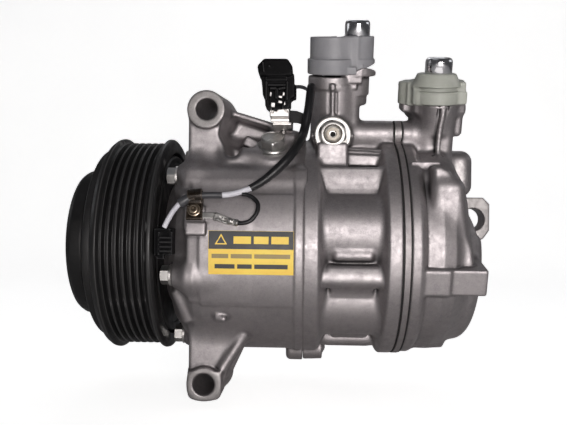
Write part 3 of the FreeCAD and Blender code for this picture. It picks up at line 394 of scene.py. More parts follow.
def wedge(r0, r1, angle0, angle1, x0, x1, edge=0.0):
    """Part of a tube round the X axis between two angles."""
    middle = math.radians((angle0 + angle1) / 2)
    spread = math.radians(abs(angle1 - angle0) / 2)

    def distance(x, y, z):
        radius = np.sqrt(y * y + z * z)
        angle = np.abs((np.arctan2(z, -y) - middle + np.pi) % (2 * np.pi) - np.pi) - spread
        wall = np.abs(radius - (r0 + r1) / 2) - (r1 - r0) / 2
        ends = np.abs(x - (x0 + x1) / 2) - (x1 - x0) / 2 + edge
        return box_distance([wall + edge, np.minimum(angle, 1.0) * radius + edge, ends], edge)

    angles = np.radians(np.linspace(angle0, angle1, 40))
    ys = np.concatenate([-r0 * np.cos(angles), -r1 * np.cos(angles)])
    zs = np.concatenate([r0 * np.sin(angles), r1 * np.sin(angles)])
    return distance, point(x0, ys.min(), zs.min()), point(x1, ys.max(), zs.max())


def softened(points, radius):
    """The closed outline with each corner rounded; a third entry is a corner's own radius."""
    steps = 3
    corners = [np.array(p[:2], float) for p in points]
    rounded = []
    for i, here in enumerate(corners):
        back, ahead = corners[i - 1] - here, corners[(i + 1) % len(corners)] - here
        back_length, ahead_length = np.linalg.norm(back), np.linalg.norm(ahead)
        back, ahead = back / back_length, ahead / ahead_length
        half = math.acos(max(-1, min(1, float(back @ ahead)))) / 2
        wanted = points[i][2] if len(points[i]) > 2 else radius
        if wanted <= 0 or half > 1.5:
            rounded.append(tuple(here))
            continue
        reach = min(wanted / math.tan(half), 0.45 * back_length, 0.45 * ahead_length)
        start, end = here + back * reach, here + ahead * reach
        for k in range(steps + 1):
            t = k / steps
            rounded.append(tuple((1 - t) ** 2 * start + 2 * t * (1 - t) * here + t * t * end))
    return rounded


def curve_points(points, per=14):
    """Catmull-Rom curve through the points."""
    knots = [np.array(p, float) for p in points]
    knots = [2 * knots[0] - knots[1]] + knots + [2 * knots[-1] - knots[-2]]
    line = []
    for a, b, c, d in zip(knots, knots[1:], knots[2:], knots[3:]):
        for k in range(per):
            t = k / per
            line.append(0.5 * (2 * b + (c - a) * t + (2 * a - 5 * b + 4 * c - d) * t * t
                               + (3 * b - a - 3 * c + d) * t ** 3))
    line.append(knots[-2])
    return np.array(line)


# ------------------------------------------------------------------ meshes
def build(name, verts, faces, material, replaces=None, body="casing",
          attributes=None, sharp_angle=None):
    """An object from vertices in mm; faces are an array of quads or a list of any polygons."""
    mesh = bpy.data.meshes.new(name)
    verts = np.asarray(verts, np.float64) * MM
    listed = isinstance(faces, list)
    if listed:
        mesh.from_pydata([tuple(v) for v in verts], [], faces)
        mesh.update()
    else:
        mesh.vertices.add(len(verts))
        mesh.vertices.foreach_set("co", verts.ravel())
        mesh.loops.add(faces.size)
        mesh.loops.foreach_set("vertex_index", faces.astype(np.int32).ravel())
        mesh.polygons.add(len(faces))
        starts = (np.arange(len(faces)) * faces.shape[1]).astype(np.int32)
        mesh.polygons.foreach_set("loop_start", starts)
        mesh.update(calc_edges=True)
    for key, values in (attributes or {}).items():
        attribute = mesh.attributes.new(key, "FLOAT", "POINT")
        attribute.data.foreach_set("value", np.asarray(values, np.float32))
    mesh.polygons.foreach_set("use_smooth", np.ones(len(mesh.polygons), bool))
    if sharp_angle:
        mesh.set_sharp_from_angle(angle=math.radians(sharp_angle))
    mesh.materials.append(material)
    obj = bpy.data.objects.new(name, mesh)
    bpy.context.scene.collection.objects.link(obj)
    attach(obj, body)
    if replaces:
        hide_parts(replaces)
    if listed:
        face_outwards(mesh)
    return obj


def face_outwards(mesh):
    work = bmesh.new()
    work.from_mesh(mesh)
    bmesh.ops.recalc_face_normals(work, faces=work.faces)
    work.to_mesh(mesh)
    work.free()


def solid(name, field, material, replaces=None):
    verts, quads, hollow, edge = field.surface()
    attributes = {"hollow": hollow, "edge": edge}
    return build(name, verts, quads, material, replaces, attributes=attributes)


def turned(name, rows, material, slot, replaces=None, body="casing", origin=(0, 0, 0),
           axis=(1, 0, 0), segments=96, sharp_angle=34, spin=0):
    """Rows of (along, radius) or (along, radius, width across flats) turned round an axis."""
    axis = unit(axis)
    side = unit(np.cross(axis, point(0, 0, 1) if abs(axis[2]) < 0.9 else point(0, 1, 0)))
    up = np.cross(axis, side)
    origin = np.array(origin, float)
    verts, faces, loops = [], [], []
    for along, radius, *across in rows:
        centre = origin + axis * along
        if radius < 1e-6:
            loops.append([len(verts)])
            verts.append(centre)
            continue
        loops.append(list(range(len(verts), len(verts) + segments)))
        for k in range(segments):
            angle = 2 * math.pi * k / segments
            reach = radius
            if across:
                off_flat = (angle + math.pi / 6) % (math.pi / 3) - math.pi / 6
                reach = min(radius, across[0] / 2 / math.cos(off_flat))
            angle += math.radians(spin)
            verts.append(centre + side * (reach * math.cos(angle)) + up * (reach * math.sin(angle)))
    for near, far in zip(loops, loops[1:] + loops[:1]):
        if len(near) == len(far) == 1:
            continue
        for k in range(segments):
            j = (k + 1) % segments
            if len(near) == 1:
                faces.append((near[0], far[j], far[k]))
            elif len(far) == 1:
                faces.append((near[k], near[j], far[0]))
            else:
                faces.append((near[k], near[j], far[j], far[k]))
    build(name, verts, faces, material, replaces, body, sharp_angle=sharp_angle)


def tube(name, points, radius, material, replaces=None, segments=28, profile=None):
    """A round lead along a curve. profile(run, length) scales the radius."""
    line = curve_points(points)
    count = len(line)
    tangents = np.gradient(line, axis=0)
    tangents /= np.linalg.norm(tangents, axis=1, keepdims=True)
    side = unit(np.cross(tangents[0], point(0.3, 0.2, 0.9)))
    verts, faces = [], []
    run = np.concatenate([[0], np.cumsum(np.linalg.norm(np.diff(line, axis=0), axis=1))])
    for i in range(count):
        side = unit(side - tangents[i] * (side @ tangents[i]))
        up = np.cross(tangents[i], side)
        size = radius * (profile(run[i], run[-1]) if profile else 1.0)
        for k in range(segments):
            angle = 2 * math.pi * k / segments
            verts.append(line[i] + size * (side * math.cos(angle) + up * math.sin(angle)))
    for i in range(0, (count - 1) * segments, segments):
        for k in range(segments):
            j = (k + 1) % segments
            faces.append((i + k, i + j, i + segments + j, i + segments + k))
    faces.append(tuple(range(segments))[::-1])
    faces.append(tuple(range((count - 1) * segments, count * segments)))
    build(name, verts, faces, material, replaces, sharp_angle=50)


# --------------------------------------------------------------- materials
def rgba(value):
    if isinstance(value, (int, float)):
        value = (value,) * 3
    return (*value, 1)


def shade(colour, factor, lift=0.0):
    return tuple(min(1, factor * v + lift) for v in colour)


class Shader:
    """A material's node tree, with the few nodes the finishes are made of."""

    def __init__(self, name):
        self.material = bpy.data.materials.new(name)
        self.material.use_nodes = True
        self.tree = self.material.node_tree
        self.inputs = self.tree.nodes["Principled BSDF"].inputs
        self.coords = self.node("TexCoord")
        self.coords.name = "coords"

    def node(self, kind):
        return self.tree.nodes.new("ShaderNode" + kind)

    def feed(self, socket, value):
        if isinstance(value, bpy.types.NodeSocket):
            self.tree.links.new(value, socket)
        else:
            socket.default_value = value

    def noise(self, scale, detail, roughness, distortion=0.0):
        node = self.node("TexNoise")
        node.inputs["Scale"].default_value = scale
        node.inputs["Detail"].default_value = detail
        node.inputs["Roughness"].default_value = roughness
        node.inputs["Distortion"].default_value = distortion
        self.feed(node.inputs["Vector"], self.coords.outputs["Object"])
        return node.outputs["Fac"]

    def cells(self, scale):
        node = self.node("TexVoronoi")
        node.inputs["Scale"].default_value = scale
        self.feed(node.inputs["Vector"], self.coords.outputs["Object"])
        return node.outputs["Distance"]

    def ramp(self, source, *stops):
        """Two stops of (position, grey value or colour)."""
        node = self.node("ValToRGB")
        for element, (position, colour) in zip(node.color_ramp.elements, stops):
            element.position = position
            element.color = rgba(colour)
        self.feed(node.inputs["Fac"], source)
        return node.outputs["Color"]

    def mix(self, share, first, second):
        node = self.node("Mix")
        node.data_type = "RGBA"
        self.feed(node.inputs[0], share)
        for socket, value in ((node.inputs[6], first), (node.inputs[7], second)):
            is_socket = isinstance(value, bpy.types.NodeSocket)
            self.feed(socket, value if is_socket else rgba(value))
        return node.outputs[2]

    def multiply(self, first, second):
        node = self.node("Math")
        node.operation = "MULTIPLY"
        self.feed(node.inputs[0], first)
        self.feed(node.inputs[1], second)
        return node.outputs[0]

    def attribute(self, name):
        node = self.node("Attribute")
        node.attribute_name = name
        return node.outputs["Fac"]

    def pointiness(self):
        return self.node("NewGeometry").outputs["Pointiness"]

    def finish(self, colour, roughness, bumps, metallic=0.0):
        """Bumps are layers of (height, strength, distance in metres)."""
        self.feed(self.inputs["Base Color"], colour)
        self.feed(self.inputs["Metallic"], metallic)
        self.feed(self.inputs["Roughness"], roughness)
        normal = None
        for height, strength, distance in bumps:
            node = self.node("Bump")
            node.inputs["Strength"].default_value = strength
            node.inputs["Distance"].default_value = distance
            self.feed(node.inputs["Height"], height)
            if normal:
                self.feed(node.inputs["Normal"], normal)
            normal = node.outputs["Normal"]
        self.feed(self.inputs["Normal"], normal)
        return self.material


def cast_metal(name, light, middle, dark, roughness, metallic, worn_and_shaded=True, grain=1.0):
    """Cast aluminium: sandy grain, mottling, painted shade in the hollows, bright nicks on edges.
    """
    shader = Shader(name)
    ramp, mix = shader.ramp, shader.mix
    slow = shader.noise(38, detail=5, roughness=0.65, distortion=0.4)
    medium = shader.noise(260, detail=5, roughness=0.7)
    fine = shader.noise(1500, detail=3, roughness=0.6)
    colour = ramp(slow, (0.3, middle), (0.7, light))
    colour = mix(ramp(medium, (0.35, 0), (0.75, 0.55)), colour, dark)
    colour = mix(ramp(fine, (0.42, 0), (0.62, 0.5)), colour, light)
    spots = ramp(shader.cells(420), (0.03, 1), (0.085, 0))
    patches = ramp(shader.noise(95, detail=2, roughness=0.5), (0.6, 0), (0.66, 1))
    nicks = shader.multiply(spots, patches)
    colour = mix(nicks, colour, (0.86, 0.85, 0.84))
    # the hollows get painted shade and the edges get rubbed wear
    if worn_and_shaded:
        hollow, edge = shader.attribute("hollow"), shader.attribute("edge")
        # painted shade: the hollows are darkened to stand in for the shade that falls in them
        painted_shade = shader.multiply(ramp(hollow, (0.08, 0), (0.75, 1)), 0.85)
        colour = mix(painted_shade, colour, shade(dark, 0.22))
        rubs = ramp(shader.noise(180, detail=4, roughness=0.7), (0.42, 0), (0.6, 1))
        rubbed = shader.multiply(ramp(edge, (0.35, 0), (0.85, 1)), rubs)
        colour = mix(shader.multiply(rubbed, 0.6), colour, (0.74, 0.72, 0.70))
    polish = ramp(medium, (0.3, roughness - 0.07), (0.7, roughness + 0.1))
    bumps = [(slow, 0.25, 0.0006), (medium, 0.22 * grain, 0.00022), (fine, 0.4 * grain, 0.00008)]
    return shader.finish(colour, mix(nicks, polish, 0.2), bumps, metallic)


def bright_metal(name, light, dark, roughness, metallic=1.0, tarnish=0.4):
    """Machined or plated metal: smears and a little tarnish."""
    shader = Shader(name)
    ramp, mix, noise = shader.ramp, shader.mix, shader.noise
    slow = noise(90, detail=5, roughness=0.7, distortion=0.6)
    colour = ramp(slow, (0.3, dark), (0.72, light))
    stain = ramp(noise(330, detail=4, roughness=0.7), (0.5, 0), (0.75, tarnish))
    colour = mix(stain, colour, shade(dark, 0.4))
    rubbed = ramp(shader.pointiness(), (0.5, 0), (0.6, 0.6))
    colour = mix(rubbed, colour, shade(light, 1.25))
    polish = ramp(noise(420, detail=4, roughness=0.7),
                  (0.3, roughness - 0.07), (0.75, roughness + 0.13))
    bumps = [(noise(700, detail=3, roughness=0.6), 0.12, 0.00006)]
    return shader.finish(colour, polish, bumps, metallic)


def coated(name, base, dust, roughness, wear, metallic=0.0, grain=0.15, specular=0.5):
    """Black coated steel or moulded plastic: dust, dull patches, rubbed edges."""
    shader = Shader(name)
    ramp, mix, noise = shader.ramp, shader.mix, shader.noise
    slow = noise(70, detail=5, roughness=0.65, distortion=0.3)
    colour = ramp(slow, (0.3, base), (0.8, dust))
    speck = ramp(noise(900, detail=3, roughness=0.7), (0.62, 0), (0.75, 0.25))
    colour = mix(speck, colour, shade(dust, 2.2, 0.03))
    rubbed = shader.multiply(ramp(shader.pointiness(), (0.51, 0), (0.6, 1)), wear)
    colour = mix(rubbed, colour, shade(dust, 3, 0.08))
    shader.inputs["Specular IOR Level"].default_value = specular
    polish = ramp(noise(160, detail=5, roughness=0.7),
                  (0.3, roughness - 0.08), (0.75, roughness + 0.14))
    bumps = [(noise(1300, detail=3, roughness=0.6), grain, 0.00008),
             (noise(200, detail=3, roughness=0.5), grain * 0.6, 0.0002)]
    return shader.finish(colour, polish, bumps, metallic)


def moulded(name, light, dark, roughness, subsurface=0.0, grain=0.2):
    """Moulded plastic with flow marks, and painted shade in its hollows."""
    shader = Shader(name)
    ramp, mix, noise = shader.ramp, shader.mix, shader.noise
    slow = noise(55, detail=5, roughness=0.6, distortion=0.5)
    colour = ramp(slow, (0.3, dark), (0.72, light))
    # painted shade: darker in the hollows
    painted_hollow_shade = ramp(shader.attribute("hollow"), (0.1, 0), (0.8, 0.5))
    colour = mix(painted_hollow_shade, colour, shade(dark, 0.5))
    speck = ramp(noise(600, detail=4, roughness=0.7), (0.55, 0), (0.8, 0.22))
    colour = mix(speck, colour, shade(dark, 0.6))
    if subsurface:
        shader.inputs["Subsurface Weight"].default_value = subsurface
        shader.inputs["Subsurface Radius"].default_value = (0.004, 0.004, 0.0035)
        shader.inputs["Subsurface Scale"].default_value = 1.0
    polish = ramp(noise(240, detail=4, roughness=0.7),
                  (0.3, roughness - 0.06), (0.75, roughness + 0.12))
    bumps = [(noise(900, detail=3, roughness=0.6), grain, 0.00008),
             (noise(120, detail=3, roughness=0.5), grain, 0.0003)]
    return shader.finish(colour, polish, bumps)


# cast metals: light, middle and dark colours
CAST = cast_metal("cast_aluminium", (0.46, 0.43, 0.434), (0.36, 0.337, 0.342),
                  (0.22, 0.209, 0.218), roughness=0.52, metallic=0.95)
CUT_FACE = cast_metal("cut_face", (0.35, 0.335, 0.33), (0.28, 0.268, 0.265),
                      (0.19, 0.182, 0.18), roughness=0.5, metallic=0.8, worn_and_shaded=False, grain=0.7)
PLATE = cast_metal("plate_face", (0.40, 0.37, 0.372), (0.32, 0.297, 0.30),
                   (0.22, 0.208, 0.214), roughness=0.56, metallic=0.9, worn_and_shaded=False)
# bright metals: light and dark colours
MACHINED = bright_metal("machined_aluminium", (0.72, 0.70, 0.68), (0.50, 0.48, 0.47),
                        roughness=0.38, tarnish=0.25)
STEEL = bright_metal("ground_steel", (0.74, 0.73, 0.72), (0.42, 0.42, 0.43),
                     roughness=0.26, tarnish=0.5)
ZINC = bright_metal("zinc_plate", (0.56, 0.55, 0.53), (0.34, 0.33, 0.32), roughness=0.38)
DULL = bright_metal("dull_steel", (0.36, 0.35, 0.34), (0.16, 0.16, 0.16), roughness=0.42)
CHROME = bright_metal("chrome", (0.88, 0.88, 0.90), (0.74, 0.74, 0.77),
                      roughness=0.11, tarnish=0.12)
COPPER = bright_metal("copper_winding", (0.62, 0.30, 0.16), (0.38, 0.17, 0.08), roughness=0.35)
TIN = bright_metal("bright_tin", (0.86, 0.83, 0.80), (0.60, 0.57, 0.55),
                   roughness=0.42, metallic=0.7, tarnish=0.25)
# coatings: base and dust colours
BLACK = coated("black_coat", (0.006, 0.006, 0.0065), (0.013, 0.0125, 0.0125),
               roughness=0.42, wear=0.35, specular=0.32)
BLACK_EDGE = coated("black_coat_worn", (0.006, 0.006, 0.0065), (0.014, 0.0135, 0.0135),
                    roughness=0.38, wear=1.3, specular=0.38)
RUBBER = coated("rubber_coat", (0.006, 0.006, 0.0065), (0.014, 0.0135, 0.013),
                roughness=0.6, wear=0.1, specular=0.3)
SLEEVING = coated("black_sleeving", (0.005, 0.005, 0.006), (0.010, 0.010, 0.011),
                  roughness=0.36, wear=0.1, grain=0.25, specular=0.4)
PLASTIC = coated("black_plastic", (0.0022, 0.0022, 0.0026), (0.005, 0.005, 0.0055),
                 roughness=0.40, wear=0.9, specular=0.05)
BROWN = coated("dark_chromate", (0.010, 0.007, 0.005), (0.028, 0.018, 0.010),
               roughness=0.26, wear=1.6, metallic=0.5)
SOCKET = coated("dark_screw", (0.10, 0.075, 0.05), (0.20, 0.16, 0.12),
                roughness=0.25, wear=0.9, metallic=0.8)
SHRINK = coated("grey_shrink", (0.030, 0.031, 0.035), (0.060, 0.060, 0.066),
                roughness=0.4, wear=0.1)
# painted shade: near-black that stands in for the shade inside holes and dimples
HOLE_SHADE = coated("shadow_black", (0.004, 0.004, 0.004), (0.008, 0.008, 0.008),
              roughness=0.8, wear=0.0)
# mouldings and label inks: light and dark colours
GREY_CAP = moulded("grey_cover", (0.30, 0.30, 0.315), (0.23, 0.23, 0.245), roughness=0.45)
WHITE_CAP = moulded("white_cover", (0.46, 0.475, 0.425), (0.35, 0.365, 0.325),
                    roughness=0.42, subsurface=0.2)
CREAM = moulded("cream_insert", (0.74, 0.68, 0.58), (0.56, 0.50, 0.42), roughness=0.4)
WHITE = moulded("white_sleeve", (0.74, 0.74, 0.78), (0.55, 0.55, 0.60),
                roughness=0.5, grain=0.5)
YELLOW = moulded("label_yellow", (0.950, 0.728, 0.123), (0.918, 0.602, 0.096),
                 roughness=0.5, grain=0.05)
INK = moulded("label_ink", (0.055, 0.058, 0.062), (0.038, 0.040, 0.043),
              roughness=0.5, grain=0.05)
FAINT = moulded("label_ink_faded", (0.36, 0.28, 0.12), (0.28, 0.22, 0.10),
                roughness=0.5, grain=0.05)


# ----------------------------------------------------------- front housing
# (x, radius)
FRONT_OUTLINE = [
    (-11.2, 9), (-11.2, 16.9), (11.7, 16.9), (11.7, 19.4), (15.2, 19.4), (15.2, 32.8),
    (19.8, 35.9), (19.8, 43.2), (24.3, 49.2), (29.6, 52.6), (32.6, 55.0), (37, 56.0), (44, 56.5),
    (81.2, 56.5), (82.4, 57.2), (85.6, 56.9), (85.99, 56.5), (85.99, 9)]
# (x, z)
UPPER_WEB = [(27.8, 69), (27.8, 30), (52, 30), (49.6, 44), (47.6, 48.5), (46.0, 53),
             (44.9, 59), (44.7, 69)]
LOWER_WEB = [(28.9, -69), (28.9, -30), (54, -30), (53.2, -45), (49.8, -50.5), (48.4, -57),
             (48.2, -64), (46.6, -70)]
LOWER_FACE = [(29.0, -62, 0), (46.0, -62, 0), (46.0, -76.3), (29.0, -76.3)]


def front_ears(part):
    part.add(6, extruded(UPPER_WEB, -38, 26, 1.6))
    part.add(1.2, cylinder((EAR_X - 0.3, -39.8, EAR_Z), (EAR_X, -9, EAR_Z), 9.5, 0.35, 12))
    part.add(0.8, y_rod(EAR_X, EAR_Z, -9.2, 28.8, 12, 0.5, 8.9))
    part.add(6, extruded(LOWER_WEB, -37, 26, 1.6))
    part.add(1.0, y_rod(EAR_X, -EAR_Z, -39.8, -9, 8.35, 0.5, 11.4))
    part.add(0.8, y_rod(EAR_X, -EAR_Z, -9.2, 28.8, 11.4, 0.5, 8.4))
    part.add(1.6, extruded(softened(LOWER_FACE, 4.2), -39.8, -27, 0.5))
    # diagonal ribs up to the barrel
    part.add(2.2, cylinder((57, -35.5, -43.5), (45.6, -36.8, -61.5), 2.6, 0.6, 2.3))
    part.add(3, cylinder((56.5, -30, -44), (46.4, -30, -66), 3, 0.6, 3))


def front_top(part):
    """The shapes above the label, up to the oil plug, and the clamp's pad."""
    part.add(7, slab((58.5, -40.6, 33.6), (31, 4.6, 3.2), 1.5, turn("X", -16)))
    # sloping rib from the upper boss, with its wall behind
    slope = turn("Y", 16.5)
    part.add(2.6, slab((56.5, -12.5, 66.4), (13.4, 12, 1.5), 1.2, slope))
    part.add(3, slab((57, -3.5, 58.5), (14.5, 6, 9.5), 1.5, slope),
             slab((77, -16, 57), (9, 9, 4), 2, turn("Y", 14)))
    part.add(4, slab((57.5, 8, 66.6), (12.5, 12, 2.2), 1.8, turn("Y", 17) @ turn("X", 22)))
    # oil plug's seat
    part.add(6, radial_rod(OIL_PLUG_ANGLE, OIL_PLUG_X, 46, 59.9, 13.5, 0.5, 10.2))
    part.add(4, slab((74, -25, 52.4), (8, 9.5, 4.8), 2))
    part.add(6, slab((63.5, -33, 44), (17, 7, 7), 3.5, turn("X", 35)))
    # pad of the cable clamp
    part.add(1.2, slab(polar(53, 14.6, 34.6), (4.8, 6, 5.3), 1, facing(14)))
    part.add(0.8, slab(polar(53.4, 9.4, 35.4), (4.9, 3.1, 5.5), 0.9, facing(9.4)))


def front_cuts(part):
    for z in (EAR_Z, -EAR_Z):
        part.cut(0, y_rod(EAR_X, z, -45, 34, 5.25))
        for y, inward in ((-40.3, 1), (29.3, -1)):
            part.cut(0, y_rod(EAR_X, z, y, y + 0.9 * inward, 5.75, 0, 5.2))
    # pockets between the webs
    part.cut(1.6, cylinder((54.5, -42, 58), (54.5, -12, 58.4), 6.4, 2.5, 5.2))
    part.cut(2.5, slab((53.5, -27, 57.2), (9.4, 15, 5.9), 4.4, turn("Y", 16)))
    part.cut(3.5, slab((49.5, -30, 52.5), (3, 13, 7.5), 2.8, turn("Y", -8)))
    part.add(1.5, slab((57.8, -16.5, 53.6), (4.2, 5, 3), 1.5, turn("Y", 28)))
    part.cut(1, y_rod(33.5, 47, -41, -41.5, 2, 0.2))
    # plug, clamp screw, shaft and cylinder bores
    part.cut(0, radial_rod(OIL_PLUG_ANGLE, OIL_PLUG_X, 40, 61, 4.6),
             radial_rod(17.6, 34.6, 44, 60, 2),
             x_rod(-14, 4, 0, 0, 14.2), x_rod(-7.6, -6.4, 0, 0, 15.2), x_rod(0, 9, 0, 0, 10.5),
             x_rod(8, 34.1, 0, 0, 13), x_rod(34, 88, 0, 0, 45),
             *ring_rods(BORE_RING, BORE_ANGLES, 40, 88, 14.4))
    for angle in BOLT_ANGLES:
        part.cut(0.6, ring_rod(BOLT_RING, angle, 12, 23, 6.3, 0.2))
        part.cut(0, ring_rod(BOLT_RING, angle, 20, 88, 3.3))
    part.cut(0, x_rod(81, 88, 0, DOWEL_Z, 2))


def front_housing():
    part = Field((-13, -63, -82), (87.5, 61, 83), COARSE)
    part.add(0, revolved(FRONT_OUTLINE, 0.3))
    # raised field on the label side, with a small knob below it
    part.add(0.8, wedge(50, 56.9, -29.4, 27.2, 37, 80.9, 0.5))
    part.add(3, wedge(50, 55.6, -27, 24.5, 31, 60, 0.5))
    part.add(2.4, cylinder((44, -45.6, -33.6), (49, -47.8, -34.6), 2, 1.2, 1.2))
    # flared seats of the through bolts and the ribs between them
    for angle in BOLT_ANGLES:
        part.add(3.6, ring_rod(BOLT_RING, angle, 23, 34, 5.7, 0.5, 8.4))
        part.add(6, ring_rod(51.8, angle, 30, 44, 5.6, 1, 2.6))
    for start, end in ((-25, -43), (35, 26), (-86, -103), (154, 137)):
        part.add(3, cylinder(polar(49.5, start, 23.4), polar(53.5, end, 29.5), 2.2, 1, 3))
    front_ears(part)
    front_top(part)
    # lobe under the joint
    part.add(1.5, x_rod(76.9, 85.99, 0, DOWEL_Z, 6.6, 2.6))
    part.add(0, x_rod(81.5, 85.99, 0, DOWEL_Z, 6.6, 0.3))
    # two ribs and a boss on the +Y side
    for x in (52, 66):
        part.add(2, wedge(50, 58.4, 150, 205, x, x + 3, 0.8))
    part.add(3, radial_rod(178, 59.5, 50, 59.5, 8.5, 0.8, 7.4))
    front_cuts(part)
    return part


# ---------------------------------------------------------- cylinder block
# (x, radius)
BLOCK_OUTLINE = [
    (86.01, 0), (86.01, 56.5), (86.4, 57.0), (92.6, 57.0), (93.6, 56.2), (97.4, 48.9),
    (100, 48.0), (119, 48.0), (121.8, 48.9), (125.6, 57.2), (126.4, 58.0), (131.9, 58.0),
    (132.3, 57.5), (132.3, 0)]
# flats facing the label side: (x, up) for two of them, (y, z) for the third
UPPER_FLAT = [(-17.0, 7.4), (17.0, 7.4), (11.4, -6.4), (-11.4, -6.4)]
LOWER_FLAT = [(-12.0, 4.8), (12.0, 4.8), (16.4, -3.6), (-16.4, -3.6)]
LENGTHWISE_FLAT = [(-50.6, -9.5), (-50.9, -15.6), (-44.4, -22.6), (-38, -22.6), (-38, -9.5)]


def block_flats(part):
    along_x, along_y, along_z = np.eye(3)
    tilt = turn("X", -7)
    part.add(2.2, extruded_in(softened(UPPER_FLAT, 2), (109.6, -41.8, 33.2),
                              (along_x, tilt @ along_z, tilt @ along_y), 9, 1.6))
    part.add(3, extruded_in(softened(LOWER_FLAT, 2), (109.8, -51.9, -12.4),
                            (along_x, along_z, along_y), 9, 1.8))
    part.add(2, extruded_in(softened(LENGTHWISE_FLAT, 1.2), (99.4, 0, 0),
                            (along_y, along_z, along_x), 20.4, 1.2))


def left_tower(part):
    """The left port's tower and its screw boss."""
    part.add(3, lean_rod(LEFT, -3.4, 0, -46, -3.5, 12.1, 0.4))
    part.add(2.5, lean_slab(LEFT, (3.2, 0, -25), (6.8, 8, 22), 3.5))
    part.add(1.2, lean_rod(LEFT, 6.9, 0, -14.4, 0, 7, 1.6))
    part.add(1, lean_rod(LEFT, 7.3, 0, -9, 0, 7.6, 0.4),
             lean_rod(LEFT, -4.6, 0, -5.6, 0, 12.35, 0.5),
             lean_rod(LEFT, 8, 0, 0.6, 2.6, 8.9, 0.5))
    part.add(0.8, lean_slab(LEFT, (1.7, 0, -2.8), (6.3, 8.9, 2.8), 0.5))
    part.add(0.5, lean_rod(LEFT, 8.3, 0, 0.8, 9.4, 9.8, 0.5))
    part.add(0.6, lean_slab(LEFT, (4, 0, 2.4), (6.5, 9.6, 5), 0.6))
    part.cut(0.3, slab(lean(LEFT, 5, 0, 13.9), (17, 14.5, 10), 0.2, LEAN @ turn("Y", -23.3)))
    part.add(0, lean_rod(LEFT, -4.6, 0, -5.6, 0.6, 12.3, 0.3))
    # bead down its label side, between two grooves
    top = lean(LEFT, -4.6, -12.2, -2.4)
    part.add(0.4, cylinder(top, top - LEAN @ point(0, 0, 3.6), 1.5, 0.8))
    part.add(0.5, cylinder(lean(LEFT, -4.5, -11.7, -5), lean(LEFT, -4.3, -11.9, -25), 0.95, 0.3))
    for side in (-1, 1):
        part.cut(0.6, cylinder(lean(LEFT, -4.5 + 1.9 * side, -12.1, -6.6),
                               lean(LEFT, -4.3 + 1.9 * side, -12.3, -24), 0.75, 0.3))


def block_top(part):
    """The relief valve's boss and pedestal, the ledges, and the passage across the joint."""
    part.add(2.5, y_rod(RELIEF_X, RELIEF_Z, -26.99, -4, 10.2, 0.5))
    part.add(2.2, slab((100, -27.5, 46.6), (7.7, 8.6, 6.4), 1.6))
    for side in (-1, 1):
        part.add(0.5, ball((RELIEF_X + 9.9 * side, -27.8, RELIEF_Z), 1.35))
    slope = turn("Y", 3)
    part.add(1.6, slab((118.6, -20.6, 44.3), (13.4, 10.4, 3), 1, turn("Y", 2)))
    part.add(0.5, slab((118.6, -20.2, 46.4), (13.2, 9.7, 2.6), 0.4, slope))
    part.add(0.4, slab((118.6, -19.6, 48), (13, 9.4, 2.4), 0.4, slope))
    part.add(3.5, x_rod(102, 128.2, -16, 59.6, 6.4, 0.3))
    part.add(1.2, x_rod(102, 132.3, -16, 59.7, 6.8, 0.6))
    part.add(3, slab((119, -14, 52), (13.3, 6, 9), 1.5))


def cylinder_block():
    part = Field((85, -61, -66), (133.5, 61, 91), COARSE)
    part.add(0, revolved(BLOCK_OUTLINE, 0.2))
    # barrels over the cylinders, each with a thin rib low on it
    for angle in BORE_ANGLES:
        part.add(2.6, ring_rod(BORE_RING, angle, 93.5, 125.5, 20.6, 3))
        part.add(3, ring_rod(50.3, angle - 17.8, 100.8, 119, 2.2, 1.6))
    for i, angle in enumerate(BOLT_ANGLES):
        part.add(1.7, ring_rod(49.6, angle, 93.5, 125, 5, 1))
        if i > 1:
            centre = polar(47.5, angle - 2.5, 109.5)
            part.add(2.6, slab(centre, (12.6, 6.2, 6.4), 3, facing(angle - 5)))
    block_flats(part)
    # pocket low down between barrel and bolt
    part.cut(2.5, ring_rod(56.6, -58.5, 100.5, 118, 3.4, 1.5))
    # lobe under the joint
    part.add(1.2, cylinder((86.01, 0, -57.4), (96.6, 0, -57), 6.4, 0.8))
    part.add(2.5, cylinder((88.5, 0, -57), (97.6, 0, -54), 5.6, 2, 4.5))
    left_tower(part)
    block_top(part)
    # small dots on the +Y side
    part.add(0.6, *(ball(polar(53.4, angle, 109), 1.6) for angle in (168, 176, 184)))
    # bores
    part.cut(0, lean_rod(LEFT, -4.6, 0, -39, 1, 7), lean_rod(LEFT, -4.6, 0, -2.5, 1, 9),
             lean_rod(LEFT, 8, 0, -15, 3.5, 3), y_rod(RELIEF_X, RELIEF_Z, -30, -12, 4),
             x_rod(109, 134, -16, 59.8, 3.6),
             *ring_rods(BORE_RING, BORE_ANGLES, 81, 134, 13.5),
             *ring_rods(BOLT_RING, BOLT_ANGLES, 81, 134, 3.3),
             x_rod(84, 98, 0, 0, 10.2), x_rod(96, 122, 0, 0, 12.5), x_rod(110, 140, 0, 0, 6),
             x_rod(84, 91, 0, DOWEL_Z, 2))
    return part


# --------------------------------------------------------------- rear head
# (x, radius)
HEAD_OUTLINE = [
    (136.85, 0), (136.85, 56.6), (137.3, 57.0), (140.9, 57.0), (142.2, 56.2), (144.4, 53.2),
    (146, 53.3), (152, 54.0), (158, 52.3), (162.4, 48.8), (165.6, 43.5), (167.6, 37.5),
    (168.8, 30), (170.6, 8), (170.6, 0)]
